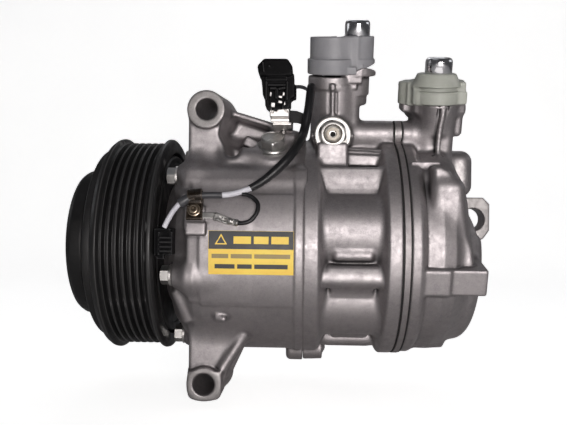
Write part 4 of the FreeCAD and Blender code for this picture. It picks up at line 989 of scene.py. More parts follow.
# (x, z)
CORNER_CUT = [(161.0, 62), (162.3, 45.0), (165.2, 38.0), (168.2, 28.0), (170.2, 16.5),
              (172.6, 7.6), (185, 0), (200, 0), (200, 62)]
PANEL = [(147.2, 40.5), (151.0, 41.0), (155.4, 38.8), (158.4, 34.2), (160.8, 28.6),
         (162.4, 20.0), (163.6, 12.5), (164.6, 7.6), (166.8, 0.9), (168.0, -9), (147.2, -9)]
BELLY_CUT = [(146, -75), (146, -57.2), (156.0, -56.4), (160.5, -54.6), (164.5, -52.4),
             (170.0, -50.6), (175.2, -48.0), (178.0, -40), (180.5, -31), (195, -29), (195, -75)]
END_CUT = [(166.0, 62), (168.0, 38.0), (170.6, 28.0), (172.0, 16.5), (174.0, 7.6), (187, 0),
           (200, 0), (200, 62)]
REAR_EAR = [(158, 1.4), (184.4, 1.4), (188.6, 3.6), (192.0, 8.4), (192.0, 23.4),
            (188.4, 27.2), (158, 27.2)]
# points down the label side of the right port's neck
NECK_BEAD = [(155.5, -32.6, 75.0), (155.4, -31.2, 67.8), (154.6, -28.6, 61.2),
             (154.2, -26.2, 52.0), (154.1, -27.0, 46.6)]


def head_body(part):
    part.add(0, revolved(HEAD_OUTLINE, 0.3))
    # the corner slopes away above
    part.cut(6, slab((186, -34, 47.5), (20, 32, 30), 5, turn("Y", -20.9)))
    part.cut(4, extruded(softened(CORNER_CUT, 2), -60, -6, 3))
    # panel on the label side
    part.add(1.6, extruded(softened(PANEL, 2.5), -49.6, -20, 2.6))
    part.add(3, cylinder((146.6, -14, 17), (157.5, -14, 15), 35, 3.5, 31.5),
             slab((155, -41.5, 12), (8, 8, 23), 5, turn("X", 6)))
    # bar over the near bolt
    near = facing(BOLT_ANGLES[0])
    part.add(0.7, slab(polar(44.4, -16, 157.3), (15.5, 6.6, 10.2), 1.2, near))
    part.add(1.2, slab(polar(46.4, -16, 147.4), (8.4, 6.8, 9.4), 1.6, near))
    part.cut(0.8, slab(polar(55.4, -15.5, 176.4), (6, 9, 1.7), 0.4, near @ turn("Y", 40)))
    # bolt seats round the rest
    part.add(2.6, *ring_rods(49.6, BOLT_ANGLES[1:], 137.2, 160.5, 6, 1.6, 5.4))
    # lower body
    part.add(2, cylinder((146, 0, 0), (166.2, 0, -2), 53.2, 5, 42.5))
    part.add(3, cylinder((148, 0, -11), (175.2, 0, -13), 43.8, 5.5, 36.4))
    part.cut(1.5, extruded(BELLY_CUT, -60, 30, 0.8))
    part.cut(3, extruded(softened(END_CUT, 2), -46, 9, 3))


def right_neck(part):
    """The right port's neck, collar and lobe, and the bead down its label side."""
    part.add(3, lean_rod(RIGHT, -1.2, 2.6, -40, -2.5, 9.8, 0.4, 11.4),
             lean_slab(RIGHT, (1, -2.5, -20), (8.4, 7.4, 19), 4))
    part.add(1.2, lean_slab(RIGHT, (7.8, 1, -8.6), (6.2, 7.6, 8.6), 2.6))
    part.add(3, lean_rod(RIGHT, 1.4, 3.6, -13, 0, 9.4, 0.5, 12.9),
             lean_rod(RIGHT, 0.4, -5.6, -15.5, 0, 5.8, 0.8, 9.9))
    part.add(4, lean_slab(RIGHT, (1.2, -0.5, -2.2), (12.8, 6.6, 2.2), 0.8))
    part.add(2, lean_slab(RIGHT, (-11, 4, -2.6), (6.4, 6.2, 2.6), 1.6))
    part.add(3, lean_rod(RIGHT, -11, 4, -7.6, -0.3, 3, 0.5, 5.8))
    line = curve_points(NECK_BEAD, 3)
    part.add(0.35, *(cylinder(a, b, 1.35, 0.3) for a, b in zip(line[:-1], line[1:])))
    for side in (-1, 1):
        groove = line + point(2.2 * side, -0.1, 0)
        part.cut(0.5, *(cylinder(a, b, 0.75, 0.3) for a, b in zip(groove[:-1], groove[1:])))


def rear_head():
    part = Field((133.5, -62, -60), (193.5, 60, 79), COARSE)
    head_body(part)
    right_neck(part)
    # passage from the joint
    part.add(3.5, x_rod(136.85, 153.8, -16, 59.7, 6.8, 0.5))
    part.add(3, slab((146, -14, 52), (9, 6.5, 8), 2))
    part.add(1, slab((145.6, -33, 42.4), (7.2, 7, 1.6), 0.5, turn("X", 8)))
    # control valve's barrel
    part.add(2, slab((CONTROL_X, 22.8, 40.8), (12.4, 15, 13.2), 6.5))
    part.add(1.5, y_rod(CONTROL_X, CONTROL_Z, 20, 37.8, 12.4, 0.6))
    part.add(2, slab((164.8, 18, 42.5), (6.4, 11, 9), 4),
             y_rod(CONTROL_X, CONTROL_Z, 20, 37.8, 12.4, 0.6))
    # rear ear
    part.add(1.2, extruded(REAR_EAR, 12.1, 25.9, 0.5))
    part.add(4, slab((163, 24, 10), (6.5, 10, 12), 4))
    # bores, and the ring-shaped cavity behind the joint
    part.cut(0, lean_rod(RIGHT, 0, 6, -33, 1, 6.5), lean_rod(RIGHT, 0, 6, -2.5, 1, 8.5),
             lean_rod(RIGHT, 0.3, -7.6, -11, 1, 3), x_rod(130, 149.8, -16, 59.8, 3.6),
             y_rod(CONTROL_X, CONTROL_Z, 9, 42, 7.5), y_rod(CONTROL_X, CONTROL_Z, 34.8, 36, 8.6),
             y_rod(REAR_EAR_X, REAR_EAR_Z, -5, 45, 6.25),
             y_rod(REAR_EAR_X, REAR_EAR_Z, 11.7, 12.6, 6.9, 0, 6.2),
             *ring_rods(BOLT_RING, BOLT_ANGLES, 130, 159.8, 3), x_rod(130, 152.8, 0, 0, 30),
             revolved([(130, 33.5), (155.8, 33.5), (155.8, 45.0), (130, 45.0)]))
    return part


def mill(obj, depth, min_height=0):
    """Give the cut finish to faces towards -Y at this depth, at least so far above or below."""
    mesh = obj.data
    mesh.materials.append(CUT_FACE)
    centres = np.empty(len(mesh.polygons) * 3, np.float32)
    normals = np.empty(len(mesh.polygons) * 3, np.float32)
    mesh.polygons.foreach_get("center", centres)
    mesh.polygons.foreach_get("normal", normals)
    centres, normals = centres.reshape(-1, 3) / MM, normals.reshape(-1, 3)
    picked = (normals[:, 1] < -0.93) & (np.abs(centres[:, 1] - depth) < 0.5)
    picked &= np.abs(centres[:, 2]) >= min_height
    mesh.polygons.foreach_set("material_index", picked.astype(np.int32))


def casting(name, part):
    return solid(name + "_cast", part, CAST, name)


mill(casting("front_housing", front_housing()), -39.8, min_height=59)
casting("cylinder_block", cylinder_block())
mill(casting("rear_head", rear_head()), 12.1)


# ----------------------------------------------------------------- clutch
# outlines of (x, radius, corner radius)
PULLEY_FRONT = [(-16.45, 50.0), (-16.45, 53.6, 0.8), (-15.4, 56.0, 0.8), (-13.6, 57.3, 0.9),
                (-12.4, 57.45, 0.5), (-11.4, 55.6, 0.7), (-10.9, 55.1, 0.4)]
PULLEY_REST = [
    (10.3, 55.1, 0.4), (11.0, 55.7, 0.7), (12.3, 57.45, 0.9), (13.7, 57.2, 0.8),
    (14.9, 55.6, 0.8), (15.35, 53.0, 0.8), (15.35, 50.0, 0.3), (14.6, 49.85, 0.3),
    (-11.5, 49.8, 1.2), (-11.5, 31.1, 0.8), (12.0, 31.1, 0.4), (12.0, 27.5, 0.2),
    (-8.0, 27.5, 0.2), (-8.0, 26.0, 0.1), (-16.45, 26.0, 0.3), (-16.45, 39.6, 0.2),
    (-15.9, 40.0, 0.1), (-15.9, 43.4, 0.1), (-16.45, 43.8, 0.2)]
GROOVE_PITCH, GROOVES = 3.56, 6
ARMATURE = [(-17.0, 33.0), (-17.0, 51.0, 0.4), (-20.4, 51.2, 0.5), (-21.1, 50.4, 0.4),
            (-21.1, 42.8, 0.2), (-20.7, 42.4, 0.1), (-20.7, 41.4, 0.1), (-21.1, 41.0, 0.2),
            (-21.1, 33.0, 0.3)]
HUB_COVER = [
    (-28.4, 6.6, 0.2), (-28.4, 13.6, 1.5), (-34.1, 18.2, 1.8), (-34.2, 27.0, 0.4),
    (-33.7, 27.8, 0.4), (-33.7, 33.5, 0.4), (-34.2, 34.3, 0.5), (-34.0, 37.8, 2.2),
    (-31.4, 39.5, 1.6), (-26.2, 39.6, 0.3), (-25.6, 39.25, 0.2), (-25.1, 39.6, 0.3),
    (-22.2, 39.6, 0.4), (-22.0, 39.2, 0.1), (-22.0, 37.7, 0.2), (-31.9, 37.6, 1.2),
    (-32.2, 20.0, 0.8), (-27.0, 14.6, 0.8), (-27.0, 6.6, 0.2)]
COIL_SHELL = [
    (-9.4, 33.2, 0.2), (-9.4, 35.2, 0.2), (13.0, 35.2, 0), (13.0, 46.6, 0), (-9.4, 46.6, 0.2),
    (-9.4, 48.5, 0.4), (13.6, 48.6, 0.8), (15.4, 47.6, 0.8), (15.4, 44.4, 0.4),
    (14.9, 43.8, 0.3), (14.9, 26.5, 0.3), (15.4, 25.9, 0.3), (15.4, 21.2, 0.3),
    (13.5, 21.2, 0.2), (13.5, 33.2, 0.5)]
# rows of (x, radius)
LUG = [(-17.02, 0), (-17.02, 4.4), (-20.8, 4.6), (-21.1, 4.3), (-21.1, 0)]
RIVET = [(-20.9, 0), (-20.9, 2.0), (-23.3, 2.0), (-23.3, 2.8), (-23.5, 3.0), (-23.9, 2.7),
         (-24.1, 1.9), (-24.1, 0)]
DIMPLE_SHADE = [(-21.16, 0), (-21.16, 2.3), (-21.0, 2.7), (-20.8, 2.7), (-20.8, 0)]


def shifted(rows, seat, direction=1):
    return [(seat + direction * row[0], *row[1:]) for row in rows]


def hex_head(height, across, dish, base=0.0):
    """Rows of a hexagon head with a turned, dished crown, from its seat up."""
    corner, flat, top = across / math.sqrt(3), across / 2, base + height
    drop = (corner - flat) * 0.62
    rows = [(base, corner, across), (top - drop, corner, across)]
    for k in range(1, 6):
        t = k / 5
        rows.append((top - drop * (1 - t) - 0.02, corner - (corner - flat + 0.25) * t, across))
    return rows + [(top, flat - 0.6), (top, flat - 1.6), (top - dish, flat - 2.4),
                   (top - dish, 0)]


def pulley():
    rows = list(PULLEY_FRONT)
    for k in range(GROOVES):
        middle = GROOVE_PITCH * (k - (GROOVES - 1) / 2)
        rows += [(middle - 1.30, 55.25, 0.25), (middle - 0.40, 52.4, 0.3),
                 (middle + 0.40, 52.4, 0.3), (middle + 1.30, 55.25, 0.25)]
    turned("pulley_turned", softened(rows + PULLEY_REST, 0.3), BLACK_EDGE, "black_steel",
           "pulley", "pulley_body", segments=240, sharp_angle=50)


def armature():
    turned("armature_turned", softened(ARMATURE, 0.3), BLACK, "black_steel", "armature_plate",
           "armature", segments=200, sharp_angle=38)
    for k in range(3):
        place = polar(34.2, 90 - 120 * k)
        turned("armature_lug_%d" % k, LUG, BLACK, "black_steel", body="armature",
               origin=place, segments=40)
        turned("armature_rivet_%d" % k, RIVET, DULL, "spring_steel", body="armature",
               origin=place, segments=32)
    # painted shade: thin black discs stand for the shade in the armature's dimples
    for k in range(6):
        turned("armature_dimple_shade_%d" % k, DIMPLE_SHADE, HOLE_SHADE, "black_steel", body="armature",
               origin=polar(45.6, 150 - 60 * k), segments=28)


def hub():
    turned("hub_cover_pressed", softened(HUB_COVER, 0.4), BLACK, "black_steel", "hub_cover",
           "rotor", segments=220, sharp_angle=38)
    across, radius, height = 10.0, 8.0, 0.85   # hexagon and flange
    flange = [(0, radius - 0.3), (0.2, radius), (height - 0.3, radius), (height, radius - 0.3),
              (height + 0.15, across / math.sqrt(3) + 0.2)]
    head = shifted(flange + hex_head(3.9, across, 0.7, base=height), -28.35, -1)
    turned("hub_bolt_head", [(-14.5, 0), (-14.5, 3.0), (-28.3, 3.0)] + head, ZINC,
           "zinc_steel", "hub_bolt", "rotor")


pulley()
armature()
hub()
turned("coil_shell_pressed", softened(COIL_SHELL, 0.3), BLACK, "black_steel",
       "field_coil_shell", segments=160, sharp_angle=38)


# ------------------------------------------- bolts, plug, valves and screws
# rows of (along, radius) or (along, radius, width across flats)
BOLT = ([(158.6, 0), (158.6, 2.6), (158.0, 3.0), (21.4, 3.0)]
        + shifted(hex_head(4.2, 8.0, 0.5), 21.6, -1))
WASHER = [(21.6, 3.02), (21.6, 4.9), (21.8, 5.2), (22.85, 5.2), (23.0, 5.0), (23.0, 3.02)]
PLUG_SHANK = [(48.0, 0), (48.0, 4.0), (48.6, 4.6), (60.2, 4.6), (61.1, 4.62)]
PLUG_HEAD = [
    (0.0, 8.6), (0.2, 9.0), (0.9, 9.0), (1.15, 8.7), (1.2, 7.6), (1.6, 7.3), (2.0, 7.1),
    (2.2, 6.8), (2.3, 6.6, 11.2), (5.3, 6.6, 11.4), (5.9, 6.2, 11.4), (6.5, 5.5, 11.4),
    (6.6, 5.2), (6.6, 4.9), (6.25, 4.6), (6.2, 0)]
PLUG_RING = [(60.0, 4.8), (60.0, 8.9), (60.2, 9.2), (61.0, 9.2), (61.2, 8.9), (61.2, 4.8)]
RELIEF_BODY = [
    (15.0, 0), (15.0, 3.6), (15.4, 4.0), (28.1, 4.0), (28.1, 9.2), (28.4, 9.6), (32.6, 9.6),
    (33.1, 9.3), (33.3, 8.9), (33.3, 7.9), (33.2, 7.5), (33.25, 7.2), (33.4, 6.9, 12.6),
    (35.2, 6.9, 12.8), (35.7, 6.5, 12.8), (36.0, 5.9), (36.0, 4.9), (35.7, 4.5), (34.9, 4.2),
    (34.6, 3.6), (34.2, 0)]
RELIEF_RING = [(27.02, 4.05), (27.02, 8.3), (27.2, 8.6), (27.9, 8.6), (28.1, 8.3), (28.1, 4.05)]
RELIEF_INSERT = [(33.8, 1.75), (33.8, 3.5, 6.4), (35.7, 3.5, 6.4), (36.1, 3.2, 6.4),
                 (36.3, 2.9), (36.3, 2.1), (36.0, 1.8), (34.0, 1.75)]
# a thin disc painted black as the shade down the relief valve's bore
RELIEF_BORE_SHADE = [(34.25, 0), (34.25, 1.78), (34.35, 1.78), (34.35, 0)]
CONTROL_END = [
    (9.3, 0), (9.3, 7.0), (9.8, 7.45), (33.9, 7.45), (34.3, 7.0), (34.3, 5.6), (34.6, 5.5),
    (35.1, 5.3), (35.3, 5.0), (35.3, 3.9), (34.9, 3.6), (31.2, 3.5), (31.0, 3.2), (31.0, 0)]
LEFT_SCREW = [
    (-13.0, 0), (-13.0, 2.5), (-12.4, 3.0), (14.9, 3.0), (14.9, 6.2), (15.2, 6.42),
    (26.4, 6.42), (27.5, 6.2), (28.2, 5.6), (28.5, 4.8), (28.5, 3.3), (28.3, 3.05, 5.0),
    (24.0, 3.0, 5.0), (23.4, 0)]
RIGHT_SCREW = [
    (-13.0, 0), (-13.0, 2.5), (-12.4, 3.0), (14.7, 3.0), (14.7, 6.5), (15.0, 6.75),
    (20.9, 6.75), (22.1, 6.5), (22.9, 5.8), (23.2, 4.9), (23.2, 3.3), (23.0, 3.05, 5.0),
    (18.7, 3.0, 5.0), (18.1, 0)]

for i, angle in enumerate(BOLT_ANGLES):
    place = polar(BOLT_RING, angle)
    turned("through_bolt_%d" % (i + 1), BOLT, ZINC, "zinc_steel", "through_bolts",
           origin=place, segments=72, spin=23 * i)
    turned("bolt_washer_%d" % (i + 1), WASHER, MACHINED, "zinc_steel", "bolt_washers",
           origin=place, segments=72)

oil_plug = {"origin": (OIL_PLUG_X, 0, 0), "axis": polar(1, OIL_PLUG_ANGLE)}
turned("oil_plug_head", PLUG_SHANK + shifted(PLUG_HEAD, 61.2), ZINC, "zinc_steel", "oil_plug",
       **oil_plug)
turned("oil_plug_ring", PLUG_RING, MACHINED, "machined_alu", "oil_plug_washer", **oil_plug)

relief = {"origin": (RELIEF_X, 0, RELIEF_Z), "axis": (0, -1, 0)}
turned("relief_valve_body", RELIEF_BODY, ZINC, "zinc_steel", "relief_valve", spin=12, **relief)
turned("relief_valve_ring", RELIEF_RING, MACHINED, "machined_alu", "relief_valve_washer",
       **relief)
turned("relief_valve_insert", RELIEF_INSERT, CREAM, "machined_alu", segments=72, spin=20,
       **relief)
turned("relief_valve_bore_shade", RELIEF_BORE_SHADE, HOLE_SHADE, "rubber", segments=32, **relief)
turned("control_valve_end", CONTROL_END, STEEL, "steel", "control_valve",
       origin=(CONTROL_X, 0, CONTROL_Z), axis=(0, 1, 0), segments=80)
for name, rows, place in (("left_port_screw", LEFT_SCREW, lean(LEFT, 7.9, 0, 0)),
                          ("right_port_screw", RIGHT_SCREW, lean(RIGHT, -0.9, -7.6, 0))):
    turned(name, rows, CHROME, "chrome", "port_cap_screws", origin=place, axis=PORT_AXIS,
           sharp_angle=45)


# ----------------------------------------------------------- port covers
def lean_field(port, low, high, step):
    ends = np.array([lean(port, *corner) for corner in product(*zip(low, high))])
    return Field(ends.min(0), ends.max(0), step)


def left_cap():
    part = lean_field(LEFT, (-18.5, -14.5, -1), (19.5, 14, 23), FINE * 1.15)
    part.add(0, lean_rod(LEFT, -4.5, 0, 1.7, 20.2, 11.7, 0.6),
             lean_rod(LEFT, 7.9, 0, 1.7, 20.6, 8.7, 0.6))
    part.add(1.8, lean_slab(LEFT, (1.7, 0, 10.9), (6.4, 9.2, 9.4), 0.6))
    part.add(0.9, lean_rod(LEFT, -4.5, 0, 1.7, 9.2, 12.95, 0.6),
             lean_rod(LEFT, 8.2, 0, 1.7, 9.2, 9.2, 0.5))
    # hollows for the port and for the screw
    part.cut(0.4, lean_rod(LEFT, -4.5, 0, 10.5, 24, 9.7, 0.5))
    part.cut(0.2, lean_rod(LEFT, 7.9, 0, 14.8, 26, 6.6))
    part.cut(0, lean_rod(LEFT, 7.9, 0, -2, 26, 3.1))
    part.cut(0.3, lean_rod(LEFT, -4.5, 0, 0, 8.6, 9.8, 0.5))
    part.add(0.5, lean_rod(LEFT, -4.5, 0, 8, 11, 4.2, 0.6))
    part.cut(0.2, lean_slab(LEFT, (0.2, 10.4, 20.2), (2.2, 2.4, 3.4), 0.3))
    # skirt cut away over the screw boss, leaving a tongue
    part.cut(0.5, slab(lean(LEFT, 12, -1, 0.7), (13.5, 14, 3.8), 0.5, LEAN @ turn("Y", -22.5)))
    part.add(0.4, lean_slab(LEFT, (3.9, -9.4, 3.8), (3.4, 1.4, 1.9), 0.5),
             lean_slab(LEFT, (8.8, -8.3, 5.6), (2.2, 1, 1.1), 0.4))
    # mould seam and the fine step round the skirt
    part.add(0.3, lean_slab(LEFT, (-16, 0, 5.5), (0.35, 0.4, 3.6), 0.2))
    part.add(0.5, torus(lean(LEFT, -4.5, 0, 8.9), PORT_AXIS, 12.55, 0.35))
    return part


def right_cap():
    part = lean_field(RIGHT, (-20.5, -17.5, -2.5), (18.5, 20, 17), FINE * 1.2)
    part.add(0, lean_rod(RIGHT, 1.6, 4.2, 0.4, 11.2, 13.6, 0.9),
             lean_rod(RIGHT, -0.9, -6.2, 0.4, 11.2, 9.7, 0.9))
    part.add(1.6, lean_slab(RIGHT, (1.5, -2.5, 5.8), (11.8, 7, 5.4), 0.9))
    part.add(0.8, lean_rod(RIGHT, 1.7, 4.2, 0.2, 6.2, 14.2, 0.7),
             lean_rod(RIGHT, -0.6, -6.2, 0.2, 6.2, 10.5, 0.7))
    part.add(1.5, lean_slab(RIGHT, (1.4, -3, 3.2), (12.6, 7.2, 3), 0.7))
    # raised seat of the screw
    part.add(0.9, lean_rod(RIGHT, -1.2, -5.6, 9, 15.3, 12.4, 0.6, 9.7))
    # lobe towards -X
    part.add(1, lean_rod(RIGHT, -13.2, 3, -1, 10.5, 5.8, 0.8))
    part.add(2, lean_slab(RIGHT, (-9.5, 2, 4.75), (6, 6.8, 5.75), 0.8))
    part.add(3, lean_slab(RIGHT, (-8, -2, 4.4), (5, 7, 4.4), 1.2))
    part.add(0.2, lean_rod(RIGHT, -13.2, 3, 8.6, 9, 6, 0.1))
    # mould line
    part.add(0.3, lean_rod(RIGHT, 1.7, 4.2, 6.1, 6.7, 14.5, 0.2),
             lean_rod(RIGHT, -0.6, -6.2, 6.1, 6.7, 10.8, 0.2))
    part.cut(0.4, lean_rod(RIGHT, 2.3, 6, 8.2, 20, 9.6, 0.5))
    part.cut(0, lean_rod(RIGHT, -0.9, -7.6, -3, 26, 3.1))
    part.cut(0.3, lean_rod(RIGHT, 2.3, 5.6, -2, 6.6, 9.8, 0.5),
             lean_rod(RIGHT, -13.2, 3, -3, 7.5, 3.6, 0.4))
    return part


solid("left_port_cap_moulded", left_cap(), GREY_CAP, "left_port_cap")
solid("right_port_cap_moulded", right_cap(), WHITE_CAP, "right_port_cap")


# ------------------------------------------------- coil lead and terminals
def route(*stations):
    """Points from stations of (radius, angle, x)."""
    return [polar(*station) for station in stations]


WHITE_END = route((59.4, 9.6, 21.0), (60.2, 12.6, 22.6), (60.8, 17.0, 25.2), (61.0, 20.4, 28.0))
SHRINK_RUN = route((61.0, 20.0, 27.6), (61.2, 22.8, 32.4), (61.2, 24.2, 39.0),
                   (60.6, 24.6, 47.5))
WHITE_BAND = route((60.6, 24.6, 47.5), (60.2, 25.8, 53.4), (60.0, 28.6, 60.8))
# the main lead starts just inside the band's end and climbs to the harness plug
MAIN_LEAD = [WHITE_BAND[0] * 0.02 + WHITE_BAND[-1] * 0.98] + route(
    (60.6, 32.0, 66.2), (63.0, 36.5, 72.6), (66.0, 43.0, 79.4), (67.5, 50.5, 83.6),
    (68.5, 58.0, 85.6)) + [(87.7, -34.0, 69.0), (88.6, -31.6, 77.0), (89.0, -29.8, 80.6),
                           (89.2, -27.6, 82.0)]
GROUND_WIRE = route((59.5, 12.0, 54.0), (59.8, 11.9, 57.8), (59.9, 13.0, 61.2),
                    (59.9, 16.4, 64.0), (59.9, 20.4, 64.6), (59.9, 23.4, 62.6),
                    (59.9, 25.2, 59.4), (59.9, 25.6, 56.8))


def shrink_profile(run, length):
    """Stout at the clamp, drawn down thin past it."""
    return 0.66 + 0.40 / (1 + math.exp((run / length - 0.34) * 22)) - 0.12 * math.exp(-run / 0.7)


def main_profile(run, length):
    return 0.78 + 0.22 * min(1.0, run / 14.0)


tube("lead_white_end", WHITE_END, 1.2, WHITE, "cable_sleeves")
tube("lead_shrink", SHRINK_RUN, 2.3, SHRINK, profile=shrink_profile)
tube("lead_white_band", WHITE_BAND, 1.35, WHITE)
tube("lead_main", MAIN_LEAD, 2.25, SLEEVING, "coil_cable", segments=32,
     profile=main_profile)
tube("ground_wire", GROUND_WIRE, 1.0, SLEEVING, "ground_lead", segments=20)
for i in range(2):
    wire = [(80.2, -37.5, 80.3 - 0.9 * i), (83.2, -35.6, 80.9 - 0.9 * i),
            (85.8, -33.0, 80.8 - 0.9 * i), (87.4, -30.4, 80.0 - 0.5 * i), (88.1, -28.6, 81.6)]
    tube("thin_wire_%d" % i, wire, 0.48, SHRINK, segments=16)


def terminal():
    part = Field((37.5, -62, 8.5), (58, -55, 20), FINE * 0.8)
    part.add(0, slab(polar(59.1, 15.4, 41.2), (3.9, 1.5, 0.35), 0.12, facing(15.4)))
    part.add(0.3, slab(polar(59.2, 14.6, 45.6), (1.4, 1.9, 0.35), 0.12,
                       facing(14.6) @ turn("Z", -12)))
    for side in (-1, 1):
        part.add(0.2, cylinder(polar(59.5, 15.0 + 1.35 * side, 45),
                               polar(59.4, 12.6 + 1.2 * side, 51.6), 0.5, 0.15))
    part.add(0.1, slab(polar(58.9, 13.6, 48.4), (3.4, 1.3, 0.3), 0.1,
                       facing(13.6) @ turn("Z", -17)))
    part.add(0.2, cylinder(polar(59.5, 12.9, 50.9), polar(59.6, 11.9, 55.6), 1.5, 0.3))
    part.add(0.1, torus(polar(59.5, 12, 54.8), (1, 0, -0.2), 1.5, 0.28),
             torus(polar(59.5, 12.7, 51.8), (1, 0, -0.2), 1.5, 0.22))
    part.cut(0.1, cylinder(polar(59.4, 13.6, 48.6), polar(59.6, 12.6, 52), 0.75, 0.1),
             slab(polar(61, 12.3, 53.4), (0.3, 1.6, 0.7), 0.05, facing(12)))
    return part


def clamp():
    part = Field((29, -64, 12), (41, -48, 32), FINE)
    # plate on the pad, its lower edge folded in
    flat = facing(18)
    part.add(0, slab(polar(59.3, 17.8, 34.8), (3.9, 4.6, 0.7), 0.5, flat))
    part.add(0.4, slab(polar(58.6, 13.6, 34.8), (3.9, 0.5, 1), 0.3, facing(13.6)))
    # hoop over the lead
    part.add(0.8, cylinder(polar(61, 23.6, 31.4), polar(61, 24.3, 38.4), 3.3, 0.5),
             slab(polar(60.6, 21.6, 34.9), (3.5, 1.6, 1.6), 0.6, facing(20)))
    part.cut(0, cylinder(polar(61.2, 22.4, 29), polar(61.2, 24.6, 41), 2.5))
    part.cut(0.2, slab(polar(60.1, 17.8, 34.8), (2.9, 3.6, 0.3), 0.2, flat))
    return part


CLAMP_SCREW = [
    (52.0, 0), (52.0, 1.9), (59.4, 1.95), (59.4, 2.9), (59.7, 3.1), (60.3, 3.0), (60.5, 2.6),
    (60.5, 2.3, 4.1), (61.5, 2.3, 4.1), (61.8, 2.0, 4.1), (61.9, 1.8), (61.9, 1.2),
    (61.4, 1.0), (61.2, 0)]

solid("ground_terminal_crimp", terminal(), ZINC, "ground_terminal")
solid("cable_clamp_strap", clamp(), BROWN, "cable_clamp")
turned("clamp_screw_head", CLAMP_SCREW, SOCKET, "brown_steel", "clamp_screw",
       origin=(34.6, 0, 0), axis=polar(1, 17.6), segments=48, spin=10)


# ------------------------------------------------------------- connectors
def coil_socket():
    part = Field((15, -62.5, -6), (27.5, -45, 11.5), FINE)
    part.add(0, slab((20.2, -53.5, 3), (4, 5.6, 6.4), 0.7))
    part.add(0.3, slab((21.4, -57.4, 3.2), (3.6, 1.6, 5.2), 0.5))
    part.add(0.5, slab((17.9, -49, 3), (2.2, 2.8, 4), 0.5))
    # ribbed clip
    part.add(0.2, *(slab((21.8, -59.1, z), (2.9, 0.8, 0.45), 0.2) for z in (-1.2, 0.9, 3, 5.1)),
             *(slab((x, -58.6, 2.4), (0.45, 1.1, 5.4), 0.2) for x in (18.6, 24.6)))
    part.cut(0.2, slab((21.6, -60.3, 6.9), (1.6, 1.2, 0.9), 0.2))
    part.add(0.3, slab((19.4, -57.9, -3.6), (1.8, 1.4, 1.3), 0.4))
    return part


# harness plug: its centre, and outlines of (x, z) from there
PLUG_X, PLUG_Z = 72.9, 76.8
PLUG_BOOT = [(-6.8, 14.3), (4.6, 14.3), (7.0, 10.6), (7.2, 6.2), (2.0, 5.2), (-5.0, 5.4),
             (-9.2, 6.4), (-10.0, 10.8)]
PLUG_BODY = [
    (-8.4, 7.4), (7.8, 7.4), (7.9, -3.4), (6.3, -4.9), (6.3, -7.7), (5.2, -9.2), (-4.0, -10.0),
    (-6.0, -8.2), (-6.2, -4.9), (-7.3, -2.7), (-7.5, 0.5)]
# prongs: x and z from the plug's centre, half width, half height, y
PRONGS = [
    (-3.4, -2.6, 0.45, 1.0, -48.6), (-0.6, -3.3, 0.5, 0.5, -48.9), (1.3, -3.9, 0.9, 0.55, -48.9),
    (2.8, -2.5, 0.5, 0.9, -48.6), (1.2, -6.3, 0.9, 0.6, -48.7), (-2.3, -7.7, 1.0, 1.1, -48.4),
    (3.4, -7.6, 0.35, 1.5, -48.3)]


def plug_outline(points, radius):
    return [(x + PLUG_X, z + PLUG_Z) for x, z in softened(points, radius)]


def on_plug(x, z, y, half, edge, roll=0.0):
    return slab((PLUG_X + x, y, PLUG_Z + z), half, edge, turn("Y", roll))


def harness_plug():
    part = Field((62.5, -53, 64), (83.5, -34.5, 92.5), FINE * 1.05)
    part.add(0, extruded(plug_outline(PLUG_BOOT, 2.0), -50.6, -37, 1.3))
    part.add(0.4, extruded(plug_outline(PLUG_BODY, 0.9), -49.2, -37.5, 0.7))
    part.add(0.6, on_plug(7.4, -1, -44.5, (1.5, 3.6, 3.4), 0.9))
    # latch frame, rails and window
    part.add(0.2, on_plug(-5.4, -1.2, -50, (0.42, 0.9, 4.3), 0.25),
             on_plug(4.6, -1.2, -50, (0.42, 0.9, 4.3), 0.25),
             on_plug(-0.4, 1.5, -49.8, (4.6, 0.8, 0.42), 0.25))
    part.add(0.4, on_plug(-0.6, 4.6, -49.6, (5.2, 0.7, 0.9), 0.4))
    part.add(0.3, on_plug(-6.9, 10, -50.4, (0.35, 0.8, 2.3), 0.2, -8),
             on_plug(-4, 10.4, -50.5, (0.5, 0.5, 0.5), 0.4))
    part.cut(0.2, on_plug(-0.4, -3.6, -50.6, (4, 4.4, 4.3), 0.4))
    part.cut(0.4, on_plug(-0.4, -9, -49, (2.6, 2.4, 2.4), 0.6))
    part.add(0.2, on_plug(-2.2, 0, -49.4, (1.5, 0.7, 0.5), 0.3),
             on_plug(2, 0, -49.4, (1.6, 0.7, 0.5), 0.3, -10))
    part.add(0.3, on_plug(-0.5, -2.4, -48.2, (0.6, 1.8, 2.4), 0.3))
    # flutes on the +Y side, and the wires' hole
    for x in (-6, -3, 0, 3, 6):
        part.cut(0.2, slab((PLUG_X + x, -36.9, 80), (0.55, 0.9, 5.2), 0.2))
    part.cut(0, y_rod(79.8, 80, -37.6, -33, 2))
    return part


def plug_clips():
    """Plated prongs seen through the plug's window."""
    part = Field((67, -51, 65), (79, -43, 79), FINE * 0.8)
    for x, z, width, height, y in PRONGS:
        part.add(0.1, on_plug(x, z, y, (width, 0.5, height), 0.2, 8))
    return part


